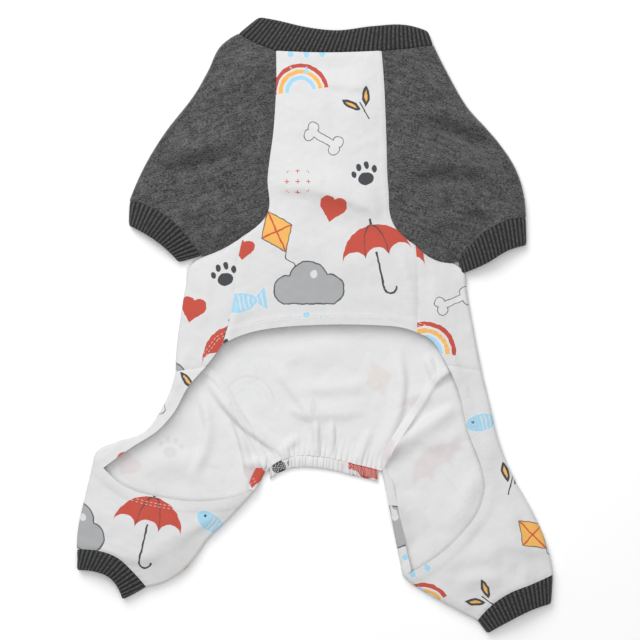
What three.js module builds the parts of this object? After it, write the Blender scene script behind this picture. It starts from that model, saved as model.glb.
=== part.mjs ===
// Dog jumpsuit laid flat on its back, belly side up: knit cotton body and hind legs, fleece
// sleeves, ribbed collar and cuffs, and a gathered casing at the tail.
// Millimetres, +Z up, +Y towards the neck. Each piece is sewn beside its neighbour with a small gap.

import * as THREE from "three";

// Neck and body
const CHEST_TOP_WIDTH = 73.5;
const NECK_SIDE = 33.4;
const COLLAR_HEIGHT = 19;
const RAGLAN_SEAM = 134.5;
const ARMHOLE = 29;
const SIDE_LENGTH = 81;
const CHEST_SIDE_SEAM = 69;
const BACK_LENGTH = 294;

// Tail casing with its elastic
const TAIL_WIDTH = 82;
const TAIL_OFFSET = -3.6;
const CASING_HEIGHT = 8;
const CASING_THICKNESS = 3.4;
const CASING_GATHERS = 22;
const GATHER_DEPTH = 0.7;
const CASING_CLEARANCE = 0.7;
const CASING_BEVEL = 2;

// Sleeves
const SLEEVE_HEM_WIDTH = 60;
const UNDERARM_LENGTH = 4.3;
const SLEEVE_CUFF_HEIGHT = 17;

// Hind legs
const HIP_LENGTH = 85;
const LEG_LENGTH = 64.6;
const LEG_HEM_WIDTH = 59;
const INSEAM = 83;
const KNEE_STRIP = 15;
const LEG_CUFF_HEIGHT = 16;
const TURNED_EDGE = 7;

// Walls
const COTTON_WALL = 1.2;
const FLEECE_WALL = 1.8;
const RIB_WALL = 1.5;
const RIB_DEPTH = 0.8;
const RIB_PITCH = 3;

// Heights of the upper layer's outer face above the floor
const FOLD_RADIUS = 3.2;
const NECK_LIFT = 11;
const CHEST_LIFT = 11;
const HEM_LIFT = 8.5;
const HIP_LIFT = 7.6;
const UNDERARM_LIFT = 5.4;
const UNDERARM_DROP = 1;
const CUFF_RISE = 5;
const LEG_RISE = 4.4;
const SLEEVE_PUFF = 4;
const CHEST_PUFF = 2;
const LEG_PUFF = 3;
const RIB_SWELL = 0.8;
const TURN_LIFT = 3.4;

const SEAM_GAP = 0.3;

// Rows and columns of the sheets. Two pieces that share a seam share its count.
const RAGLAN_ROWS = 8;
const ARMHOLE_ROWS = 3;
const SIDE_ROWS = 5;
const HIP_ROWS = 6;
const HIP_COLUMNS = 2;
const LEG_ROWS = 5;
const COLUMNS = 8;
const FOLD_STEPS = 4;
const BAND_STEPS = 48;

// How the two sides lie. share is the part of the seam's own length that shows flat, turn the degrees
// outwards from straight down the body, and bows are pairs of place along and bulge, as shares of the chord.
const LAID = {
  left: {
    neck: { share: 0.89, turn: 115, bows: [[0.54, 0.035]] },
    raglan: { share: 0.975, turn: 10, bows: [[0.2, -0.035], [0.41, -0.059], [0.68, -0.074], [0.86, -0.104]] },
    armhole: { share: 1.01, turn: 62.2, bows: [[0.6, -0.04]] },
    underarm: { share: 0.91, turn: 85, bows: [] },
    cuffSeam: { share: 1.06, turn: 127.6, bows: [[0.22, -0.09], [0.5, -0.12], [0.79, -0.067]] },
    cuffOuter: { share: 0.99, turn: 1.4 },
    cuffInner: { share: 0.92, turn: 74.5 },
    cuffEdge: { bows: [[0.19, -0.039], [0.58, -0.064]] },
    sleeveFold: { bows: [[0.1, 0.04], [0.24, 0.024], [0.39, 0.017], [0.6, 0.036], [0.79, 0.033]] },
    side: { share: 1.037, turn: 15, bows: [[0.12, 0.115], [0.28, 0.107], [0.5, 0.085], [0.78, 0.05]] },
    chestSeam: { share: 1.12, turn: 11, bows: [[0.25, 0.008], [0.58, -0.02]] },
    hip: { share: 1.02, turn: 42.1, bows: [[0.24, -0.102], [0.54, -0.138], [0.75, -0.024], [0.9, 0.04]] },
    knee: { share: 0.55, turn: -70 },
    hem: { split: 0.16, bows: [[0.15, -0.018], [0.32, -0.028], [0.48, -0.071], [0.63, -0.076], [0.8, -0.036]] },
    outer: { share: 0.947, turn: 10.5, bows: [[0.37, 0.018], [0.77, 0.03]] },
    legSeam: { share: 0.946, turn: -61.5, bows: [[0.26, -0.127], [0.5, -0.163], [0.74, -0.104]] },
    legOuter: { share: 0.875, turn: 0 },
    legInner: { share: 1.14, turn: 62.4 },
    legEdge: { bows: [[0.4, -0.203], [0.66, -0.206]] },
    inner: { share: 1.26, turn: -132, bows: [[0.3, -0.03], [0.46, -0.034], [0.7, -0.079], [0.87, -0.064]] },
    legHem: { bows: [[0.15, 0.098], [0.38, 0.139], [0.64, 0.134], [0.86, 0.077]] },
    backSeam: { bows: [[0.13, -0.14], [0.52, -0.11]] },
    collar: { share: 0.94, turn: -128.7 },
  },
  right: {
    neck: { share: 1.108, turn: 97, bows: [[0.55, 0.017]] },
    raglan: { share: 1.025, turn: 9.9, bows: [[0.2, -0.02], [0.44, -0.052], [0.69, -0.086], [0.88, -0.09]] },
    armhole: { share: 0.99, turn: 64.7, bows: [[0.58, -0.117]] },
    underarm: { share: 1.09, turn: 103.5, bows: [] },
    cuffSeam: { share: 0.942, turn: 123.4, bows: [[0.31, -0.118], [0.6, -0.131], [0.83, -0.075]] },
    cuffOuter: { share: 1.11, turn: 1.2 },
    cuffInner: { share: 0.5, turn: 9.5 },
    cuffEdge: { bows: [[0.27, -0.038], [0.64, 0.003]] },
    sleeveFold: { bows: [[0.21, -0.005], [0.36, 0.002], [0.6, 0.058], [0.75, 0.071], [0.87, 0.052]] },
    side: { share: 0.968, turn: 15.3, bows: [[0.1, 0.08], [0.28, 0.059], [0.57, 0.033], [0.82, 0.013]] },
    chestSeam: { share: 0.88, turn: 1, bows: [[0.39, 0.018]] },
    hip: { share: 0.974, turn: 17.2, bows: [[0.24, -0.014], [0.57, -0.036], [0.75, -0.029]] },
    knee: { share: 1.49, turn: -86.4 },
    hem: { split: 0.25, bows: [[0.07, 0.058], [0.19, 0.08], [0.42, 0.085], [0.66, 0.039], [0.87, 0.028]] },
    outer: { share: 1.053, turn: 22.1, bows: [[0.35, 0.046], [0.69, 0.054]] },
    legSeam: { share: 1.058, turn: -58.5, bows: [[0.28, -0.042], [0.52, -0.087], [0.77, -0.073]] },
    legOuter: { share: 1.24, turn: -3.2 },
    legInner: { share: 0.69, turn: 38.4 },
    legEdge: { bows: [[0.32, -0.049], [0.66, -0.042]] },
    inner: { share: 0.732, turn: -120.9, bows: [[0.22, -0.03], [0.62, -0.021]] },
    legHem: { bows: [[0.18, 0.09], [0.4, 0.115], [0.66, 0.097]] },
    backSeam: { bows: [[0.13, -0.14], [0.52, -0.11]] },
    collar: { share: 0.51, turn: -159 },
  },
};

// The lines that cross the body, from the left side to the right one
const NECK_BOWS = [[0.46, -0.017]];
const COLLAR_BOWS = [[0.1, -0.012], [0.28, -0.04], [0.47, -0.044], [0.67, -0.003], [0.86, 0.023]];
const BELLY_BOWS = [[0.1, 0.041], [0.22, 0.064], [0.46, 0.071], [0.8, 0.049], [0.93, 0.028]];
const TAIL_BOWS = [[0.12, 0.085], [0.24, 0.129], [0.5, 0.121], [0.76, 0.064]];

// Soft folds of the upper layer. from and to are places as shares along and across the piece, rise is
// a share of its puff and width a share of the piece's own width. They fade out near the piece's edges.
const FOLD_FADE = 0.16;
const FOLDS = {
  sleeve_left: [
    { from: [0.5, 0.1], to: [0.42, 0.75], rise: -0.6, width: 0.1 },
    { from: [0.62, 0.1], to: [0.48, 0.85], rise: 0.6, width: 0.09 },
    { from: [0.84, 0.2], to: [0.66, 0.75], rise: -0.35, width: 0.1 },
  ],
  sleeve_right: [
    { from: [0.55, 0.1], to: [0.38, 0.7], rise: -0.6, width: 0.1 },
    { from: [0.72, 0.1], to: [0.45, 0.85], rise: 0.6, width: 0.1 },
    { from: [0.85, 0.2], to: [0.66, 0.85], rise: -0.45, width: 0.09 },
  ],
  chest_panel: [
    { from: [0.47, 0.2], to: [0.56, 0.85], rise: 0.7, width: 0.1 },
    { from: [0.52, 0.12], to: [0.64, 0.7], rise: -0.5, width: 0.1 },
    { from: [0.16, 0.45], to: [0.2, 0.9], rise: 0.4, width: 0.08 },
  ],
  hind_leg_left: [
    { from: [0.2, 0.2], to: [0.7, 0.3], rise: -0.4, width: 0.12 },
    { from: [0.3, 0.85], to: [0.85, 0.6], rise: 0.5, width: 0.1 },
  ],
  hind_leg_right: [
    { from: [0.15, 0.45], to: [0.8, 0.35], rise: -0.5, width: 0.12 },
    { from: [0.35, 0.15], to: [0.85, 0.25], rise: 0.4, width: 0.1 },
  ],
};

const FINISHES = {
  cotton: { color: 0xe9e9ec, roughness: 0.9, metalness: 0 },
  fleece: { color: 0x53555a, roughness: 0.95, metalness: 0 },
  rib: { color: 0x2f3237, roughness: 0.92, metalness: 0 },
};

// Places and lines

const FOLD_LIFT = 2 * FOLD_RADIUS;

const place = (x, y, z = 0) => new THREE.Vector3(x, y, z);

const between = (a, b, share) => a.clone().lerp(b, share);

// A place reached from another by a length and a turn outwards from straight down
function reached(from, length, turn, lift = from.z) {
  const angle = THREE.MathUtils.degToRad(turn);
  return place(from.x + length * Math.sin(angle), from.y - length * Math.cos(angle), lift);
}

// The bulge of a line at a share of its chord, on one smooth curve through its bows
function bulge(bows, share) {
  const knots = [[0, 0], ...bows, [1, 0]];
  const slope = (i) => (knots[i + 1][1] - knots[i][1]) / (knots[i + 1][0] - knots[i][0]);
  const last = knots.length - 2;
  const middle = (i) => (slope(i - 1) + slope(i)) / 2;
  const slopes = knots.map((_, i) => (i > 0 && i <= last ? middle(i) : 0));
  slopes[0] = 2 * slope(0) - slopes[1];
  slopes[last + 1] = 2 * slope(last) - slopes[last];
  let k = 0;
  while (k < last && share > knots[k + 1][0]) k += 1;
  const span = knots[k + 1][0] - knots[k][0];
  const t = (share - knots[k][0]) / span;
  const rise = t * t * (3 - 2 * t);
  const start = t * (1 - t) * (1 - t) * slopes[k];
  const end = -t * t * (1 - t) * slopes[k + 1];
  return knots[k][1] * (1 - rise) + knots[k + 1][1] * rise + span * (start + end);
}

// A bowed line between two places, as a function of the share along it
function line(from, to, bows = [], rise = 0) {
  const along = to.clone().sub(from);
  return (t) => {
    const bow = bows.length ? bulge(bows, t) : 0;
    const p = from.clone().addScaledVector(along, t);
    return place(p.x - along.y * bow, p.y + along.x * bow, p.z + rise * Math.sin(Math.PI * t));
  };
}

const sample = (curve, count, start = 0, end = 1) =>
  Array.from({ length: count + 1 }, (_, i) => curve(start + ((end - start) * i) / count));

const floored = (points) => points.map((p) => place(p.x, p.y, 0));

const flatLength = (a, b) => Math.hypot(b.x - a.x, b.y - a.y);

const pathLength = (points) => points.slice(1).reduce((sum, p, i) => sum + p.distanceTo(points[i]), 0);

const joined = (...runs) => runs.reduce((path, run) => [...path, ...run.slice(1)]);

// All places and lines of one side. Its own x runs outwards, and out turns a line to the garment's frame.
function layOut(name) {
  const side = name === "left" ? -1 : 1;
  const laid = LAID[name];
  const step = (from, length, row, lift) => reached(from, length * laid[row].share, laid[row].turn, lift);
  const at = {};
  at.chestTop = place(CHEST_TOP_WIDTH / 2, 0, NECK_LIFT);
  at.neck = step(at.chestTop, NECK_SIDE, "neck", FOLD_LIFT);
  at.collar = step(at.neck, COLLAR_HEIGHT, "collar", FOLD_LIFT);
  at.sideTop = step(at.chestTop, RAGLAN_SEAM, "raglan", CHEST_LIFT);
  at.underarm = step(at.sideTop, ARMHOLE, "armhole", UNDERARM_LIFT);
  at.cuffIn = step(at.underarm, UNDERARM_LENGTH, "underarm", FOLD_LIFT);
  at.cuffOut = step(at.cuffIn, SLEEVE_HEM_WIDTH, "cuffSeam", FOLD_LIFT);
  at.cuffEdgeOut = step(at.cuffOut, SLEEVE_CUFF_HEIGHT, "cuffOuter", FOLD_LIFT);
  at.cuffEdgeIn = step(at.cuffIn, SLEEVE_CUFF_HEIGHT, "cuffInner", FOLD_LIFT);
  at.hip = step(at.underarm, SIDE_LENGTH, "side", FOLD_LIFT);
  at.hemTop = step(at.sideTop, CHEST_SIDE_SEAM, "chestSeam", HEM_LIFT);
  at.knee = step(at.hip, HIP_LENGTH, "hip", FOLD_LIFT);
  at.hemLow = step(at.knee, KNEE_STRIP, "knee", HIP_LIFT);
  at.legOut = step(at.knee, LEG_LENGTH, "outer", FOLD_LIFT);
  at.legIn = step(at.legOut, LEG_HEM_WIDTH, "legSeam", FOLD_LIFT);
  at.legEdgeOut = step(at.legOut, LEG_CUFF_HEIGHT, "legOuter", FOLD_LIFT);
  at.legEdgeIn = step(at.legIn, LEG_CUFF_HEIGHT, "legInner", FOLD_LIFT);
  at.crotch = step(at.legIn, INSEAM, "inner", FOLD_LIFT);
  at.tail = place(TAIL_WIDTH / 2 + side * TAIL_OFFSET, -BACK_LENGTH);

  const out = (curve) => (t) => {
    const p = curve(t);
    return place(side * p.x, p.y, p.z);
  };
  const drawn = (from, to, row, rise) => out(line(at[from], at[to], laid[row]?.bows, rise));
  const hem = line(at.hemTop, at.hemLow, laid.hem.bows);
  const hemSplit = hem(laid.hem.split);
  return {
    side,
    split: laid.hem.split,
    tail: place(side * at.tail.x, at.tail.y),
    neck: drawn("neck", "chestTop", "neck"),
    collarEnd: place(side * at.collar.x, at.collar.y, at.collar.z),
    raglan: drawn("chestTop", "sideTop", "raglan"),
    armhole: drawn("sideTop", "underarm", "armhole"),
    underarm: drawn("underarm", "cuffIn", "underarm"),
    sleeveFold: drawn("neck", "cuffOut", "sleeveFold"),
    cuffSeam: drawn("cuffOut", "cuffIn", "cuffSeam", CUFF_RISE),
    cuffEdge: drawn("cuffEdgeOut", "cuffEdgeIn", "cuffEdge", CUFF_RISE),
    sideFold: drawn("underarm", "hip", "side"),
    chestSeam: drawn("sideTop", "hemTop", "chestSeam"),
    hem: out(hem),
    hipSeam: out(line(at.hip, hemSplit)),
    hipFold: drawn("hip", "knee", "hip"),
    kneeLine: drawn("knee", "hemLow", "knee"),
    legHem: drawn("hemLow", "crotch", "legHem", LEG_RISE / 2),
    outerFold: drawn("knee", "legOut", "outer"),
    innerFold: drawn("crotch", "legIn", "inner"),
    legSeam: drawn("legOut", "legIn", "legSeam", LEG_RISE),
    legEdge: drawn("legEdgeOut", "legEdgeIn", "legEdge", LEG_RISE),
    backSeam: drawn("hip", "tail", "backSeam"),
    crotchEdge: drawn("tail", "crotch", "crotchEdge"),
    kneeLow: drawn("knee", "crotch", "kneeLow"),
  };
}

const SIDES = { left: layOut("left"), right: layOut("right") };
const NECK_FRONT = line(SIDES.left.raglan(0), SIDES.right.raglan(0), NECK_BOWS);
const COLLAR_EDGE = line(SIDES.left.collarEnd, SIDES.right.collarEnd, COLLAR_BOWS, NECK_LIFT - FOLD_LIFT);
const BELLY_HEM = line(SIDES.left.hem(0), SIDES.right.hem(0), BELLY_BOWS);
const TAIL_SEAM = line(SIDES.left.tail, SIDES.right.tail, TAIL_BOWS);

// The share of a line that its fold takes up
const foldShare = (curve) => FOLD_RADIUS / flatLength(curve(0), curve(1));

// Several lines end to end as one, each taking its share of the length
function chain(...curves) {
  const lengths = curves.map((curve) => flatLength(curve(0), curve(1)));
  const total = lengths.reduce((sum, length) => sum + length);
  return (t) => {
    let k = 0;
    let rest = t * total;
    while (k < curves.length - 1 && rest > lengths[k]) {
      rest -= lengths[k];
      k += 1;
    }
    return curves[k](rest / lengths[k]);
  };
}

const backwards = (curve) => (t) => curve(1 - t);

// The rounded fold between the two layers, from the upper one round the outline to the lower one. Where
// it narrows to nothing, it faces away from the place given.
function folded(upper, outline, lower, away) {
  const middle = (upper.z + lower.z) / 2;
  const half = (upper.z - lower.z) / 2;
  return Array.from({ length: FOLD_STEPS + 1 }, (_, i) => {
    const angle = (Math.PI * i) / FOLD_STEPS;
    const inside = between(upper, lower, i / FOLD_STEPS);
    const p = between(inside, outline, Math.sin(angle));
    p.z = middle + half * Math.cos(angle);
    const out = outline.clone().sub(away ?? inside).setZ(0).normalize();
    const rise = Math.cos(angle);
    p.facing = away ? out.setZ(rise / 2) : out.multiplyScalar(Math.sin(angle)).setZ(rise);
    p.facing.normalize();
    return p;
  });
}

// Where the upper layer leaves the fold at each place of an outline, on the way to the places opposite
function foldEdge(outline, opposite, lift) {
  return outline.map((p, i) => {
    const q = between(p, opposite[i], FOLD_RADIUS / flatLength(p, opposite[i]));
    return place(q.x, q.y, lift);
  });
}

// The share of the way along a path at each of its places
function waysAlong(path) {
  const total = pathLength(path);
  let gone = 0;
  return path.map((p, i) => {
    gone += i ? p.distanceTo(path[i - 1]) : 0;
    return gone / total;
  });
}

// How far the soft folds of a piece lift a place of it, fading out towards its edges
function foldRelief(folds, puff, s, w) {
  const edge = Math.min(s, 1 - s, w, 1 - w);
  const fade = THREE.MathUtils.smoothstep(edge, 0, FOLD_FADE);
  const ridges = folds.map((fold) => {
    const [s0, w0] = fold.from;
    const [s1, w1] = fold.to;
    const t = THREE.MathUtils.clamp(((s - s0) * (s1 - s0) + (w - w0) * (w1 - w0)) /
      ((s1 - s0) ** 2 + (w1 - w0) ** 2), 0, 1);
    const away = Math.hypot(s - s0 - t * (s1 - s0), w - w0 - t * (w1 - w0));
    return fold.rise * Math.exp(-((away / fold.width) ** 2));
  });
  const swell = Math.sin(Math.PI * s) * Math.sin(Math.PI * w);
  return puff * (swell + fade * ridges.reduce((sum, ridge) => sum + ridge, 0));
}

// A smooth sheet between four edge paths, as rows of places from the first path to the last one. It
// never dips below the floor.
function spread(first, last, left, right, relief = () => 0) {
  const down = [waysAlong(left), waysAlong(right)];
  const across = [waysAlong(first), waysAlong(last)];
  const end = first.length - 1;
  return left.map((_, i) => {
    const s = (down[0][i] + down[1][i]) / 2;
    return first.map((_, j) => {
      if (i === 0) return first[j];
      if (i === left.length - 1) return last[j];
      if (j === 0) return left[i];
      if (j === end) return right[i];
      const w = (across[0][j] + across[1][j]) / 2;
      const p = between(left[i], right[i], w).add(between(first[j], last[j], s));
      p.sub(between(between(first[0], first[end], w), between(last[0], last[end], w), s));
      p.z = Math.max(p.z + relief(s, w), 0);
      return p;
    });
  });
}

// Walls

const MERGE = 1e4;
const MITER_LIMIT = 0.5;

// A sheet of cloth made of quads, thickened inwards from its right side
class Cloth {
  constructor(wall) {
    this.wall = wall;
    this.places = [];
    this.found = new Map();
    this.faces = [];
  }

  corner(p) {
    const key = [p.x, p.y, p.z].map((value) => Math.round(value * MERGE)).join(" ");
    if (!this.found.has(key)) {
      this.found.set(key, this.places.length);
      this.places.push(p.clone());
    }
    const k = this.found.get(key);
    if (p.facing) this.places[k].facing = p.facing;
    return k;
  }

  // Rows of places become a net of triangles
  add(rows) {
    rows.slice(1).forEach((row, i) => row.slice(1).forEach((p, j) => {
      const corners = [rows[i][j], rows[i][j + 1], p, row[j]].map((q) => this.corner(q));
      const shorter = rows[i][j].distanceTo(p) <= rows[i][j + 1].distanceTo(row[j]);
      const [a, b, c, d] = shorter ? corners : [...corners.slice(1), corners[0]];
      this.faces.push(...[[a, b, c], [a, c, d]].filter((face) => new Set(face).size === 3));
    }));
    return this;
  }

  // Turns every triangle to face the same side as its neighbours, with the highest place facing up
  orient() {
    const sides = new Map();
    this.faces.forEach((face, f) => face.forEach((a, k) => {
      const b = face[(k + 1) % 3];
      const key = `${Math.min(a, b)} ${Math.max(a, b)}`;
      sides.set(key, [...(sides.get(key) ?? []), { f, forward: a < b }]);
    }));
    const turned = new Map([[0, false]]);
    const queue = [0];
    while (queue.length) {
      const f = queue.pop();
      this.faces[f].forEach((a, k) => {
        const b = this.faces[f][(k + 1) % 3];
        const pair = sides.get(`${Math.min(a, b)} ${Math.max(a, b)}`);
        const next = pair.find((side) => side.f !== f);
        if (!next || turned.has(next.f)) return;
        const same = pair.find((side) => side.f === f).forward === next.forward;
        turned.set(next.f, turned.get(f) !== same);
        queue.push(next.f);
      });
    }
    this.faces = this.faces.map((face, f) => (turned.get(f) ? [face[0], face[2], face[1]] : face));
    const heights = this.places.map((p) => p.z);
    const top = heights.indexOf(Math.max(...heights));
    if (this.normals()[top].z < 0) this.faces = this.faces.map(([a, b, c]) => [a, c, b]);
  }

  normals() {
    const sums = this.places.map(() => place(0, 0));
    this.faces.forEach((face) => {
      const [a, b, c] = face.map((k) => this.places[k]);
      const normal = b.clone().sub(a).cross(c.clone().sub(a)).normalize();
      face.forEach((k, i) => {
        const u = this.places[face[(i + 1) % 3]].clone().sub(this.places[k]);
        const v = this.places[face[(i + 2) % 3]].clone().sub(this.places[k]);
        sums[k].addScaledVector(normal, u.angleTo(v));
      });
    });
    return sums.map((sum) => sum.normalize());
  }

  // The free edges of the sheet, each with the triangle that it belongs to
  rims() {
    const edges = new Map();
    this.faces.forEach((face) => face.forEach((a, k) => {
      const b = face[(k + 1) % 3];
      const back = `${b} ${a}`;
      if (edges.has(back)) edges.delete(back);
      else edges.set(`${a} ${b}`, { a, b, c: face[(k + 2) % 3] });
    }));
    return [...edges.values()];
  }

  // The closed wall, drawn back at its free edges by half of the gap between two pieces
  solid() {
    this.orient();
    const normals = this.normals();
    const rims = this.rims();
    const draws = new Map();
    rims.forEach(({ a, b, c }) => {
      const edge = this.places[b].clone().sub(this.places[a]);
      const side = this.places[c].clone().sub(this.places[a]);
      const inward = edge.clone().cross(side).cross(edge).normalize();
      [a, b].forEach((k) => draws.set(k, [...(draws.get(k) ?? []), inward]));
    });
    const outer = this.places.map((p) => p.clone());
    draws.forEach((pair, k) => {
      const draw = pair.reduce((sum, inward) => sum.add(inward), place(0, 0)).setZ(0).normalize();
      const miter = Math.max(draw.dot(pair[0]), MITER_LIMIT);
      outer[k].addScaledVector(draw, SEAM_GAP / 2 / miter);
      normals[k] = this.places[k].facing ?? place(0, 0, Math.sign(normals[k].z));
    });
    const inner = outer.map((p, k) => p.clone().addScaledVector(normals[k], -this.wall));
    const count = outer.length;
    const faces = [
      ...this.faces,
      ...this.faces.map(([a, b, c]) => [a + count, c + count, b + count]),
      ...rims.flatMap(({ a, b }) => [[b, a, a + count], [b, a + count, b + count]]),
    ];
    return solidGeometry([...outer, ...inner], faces);
  }
}

function solidGeometry(places, faces) {
  const geometry = new THREE.BufferGeometry();
  const values = places.flatMap((p) => [p.x, p.y, p.z]);
  geometry.setAttribute("position", new THREE.Float32BufferAttribute(values, 3));
  geometry.setIndex(faces.flat());
  geometry.computeVertexNormals();
  return geometry;
}

function piece(name, geometry, finish) {
  const mesh = new THREE.Mesh(geometry, new THREE.MeshStandardMaterial(FINISHES[finish]));
  mesh.name = name;
  return mesh;
}

// Pieces

// The armhole's path on the lower layer, which lifts a little as it closes at the underarm
const lowerArmhole = (lines) => sample(lines.armhole, ARMHOLE_ROWS).map((p, i) =>
  place(p.x, p.y, UNDERARM_DROP * (i / ARMHOLE_ROWS) ** 3));

// A raglan sleeve: an upper and a lower layer joined round the outer fold, and closed at the underarm
function sleeve(name, lines) {
  const start = foldShare(lines.neck);
  const cuff = foldShare(lines.cuffSeam);
  const cuffIn = lines.cuffSeam(1 - cuff);
  const raglan = sample(lines.raglan, RAGLAN_ROWS);
  const seam = [...joined(raglan, sample(lines.armhole, ARMHOLE_ROWS)), cuffIn];
  const lowSeam = [...joined(floored(raglan), lowerArmhole(lines)), ...floored([cuffIn])];
  const outline = waysAlong(seam).map((t) => lines.sleeveFold(t));
  const neck = sample(lines.neck, COLUMNS, start, 1);
  const hem = sample(lines.cuffSeam, COLUMNS, cuff, 1 - cuff);
  const edge = foldEdge(outline, seam, FOLD_LIFT);
  edge[0] = neck[0];
  edge[edge.length - 1] = hem[0];
  const relief = (s, w) => foldRelief(FOLDS[name], SLEEVE_PUFF, s, w);
  const upper = spread(neck, hem, edge, seam, relief);
  const lower = spread(floored(neck), floored(hem), floored(edge), lowSeam);
  const last = seam.length - 1;
  return new Cloth(FLEECE_WALL)
    .add(upper)
    .add(outline.map((p, i) => folded(edge[i], p, lower[i][0])))
    .add(lower)
    .add([
      folded(seam[last - 1], seam[last - 1], lowSeam[last - 1], outline[last - 1]),
      folded(cuffIn, lines.cuffSeam(1), lowSeam[last]),
    ])
    .solid();
}

function chestPanel() {
  const seams = (lines) => joined(sample(lines.raglan, RAGLAN_ROWS), sample(lines.chestSeam, SIDE_ROWS));
  const relief = (s, w) => foldRelief(FOLDS.chest_panel, CHEST_PUFF, s, w);
  const neck = sample(NECK_FRONT, COLUMNS);
  const belly = sample(BELLY_HEM, COLUMNS);
  return new Cloth(COTTON_WALL)
    .add(spread(neck, belly, seams(SIDES.left), seams(SIDES.right), relief))
    .solid();
}

// The side fold of the body, from the underarm to the hip seam, with its edges on both layers
function sideFold(lines) {
  const outline = sample(lines.sideFold, SIDE_ROWS);
  const upper = foldEdge(outline, sample(lines.chestSeam, SIDE_ROWS), FOLD_LIFT);
  upper[0] = lines.armhole(1);
  upper[SIDE_ROWS] = lines.hipSeam(foldShare(lines.hipSeam));
  const lower = floored(upper);
  lower[0].z = UNDERARM_DROP;
  lower[SIDE_ROWS] = lines.backSeam(foldShare(lines.backSeam));
  lower[SIDE_ROWS].z = 0;
  return { outline, upper, lower };
}

// The back: the whole lower layer, which turns round both sides and reaches up to the chest seams
function backPanel() {
  const folds = [SIDES.left, SIDES.right].map((lines) => sideFold(lines));
  const lowSeam = (lines) => joined(floored(sample(lines.raglan, RAGLAN_ROWS)), lowerArmhole(lines));
  const legSeam = (lines) => floored(sample(lines.backSeam, COLUMNS, foldShare(lines.backSeam), 1));
  const across = (a, b) => sample(line(a, b), COLUMNS).map((p, i) =>
    (i % COLUMNS ? place(p.x, p.y, 0) : p));
  const underarms = across(folds[0].lower[0], folds[1].lower[0]);
  const hips = across(folds[0].lower[SIDE_ROWS], folds[1].lower[SIDE_ROWS]);
  const neck = floored(sample(NECK_FRONT, COLUMNS));
  const tail = floored(sample(TAIL_SEAM, COLUMNS));
  const cloth = new Cloth(COTTON_WALL)
    .add(spread(neck, underarms, lowSeam(SIDES.left), lowSeam(SIDES.right)))
    .add(spread(underarms, hips, folds[0].lower, folds[1].lower))
    .add(spread(hips, tail, legSeam(SIDES.left), legSeam(SIDES.right)));
  [SIDES.left, SIDES.right].forEach((lines, k) => {
    const { outline, upper, lower } = folds[k];
    const armhole = sample(backwards(lines.armhole), ARMHOLE_ROWS);
    const hip = sample(lines.hipSeam, HIP_COLUMNS, foldShare(lines.hipSeam), 1);
    const opposite = folds[1 - k].outline[0];
    cloth.add(outline.map((p, i) => folded(upper[i], p, lower[i], i ? undefined : opposite)));
    cloth.add(spread(armhole, [...hip, lines.hem(0)], upper, sample(lines.chestSeam, SIDE_ROWS)));
  });
  return cloth.solid();
}

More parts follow.
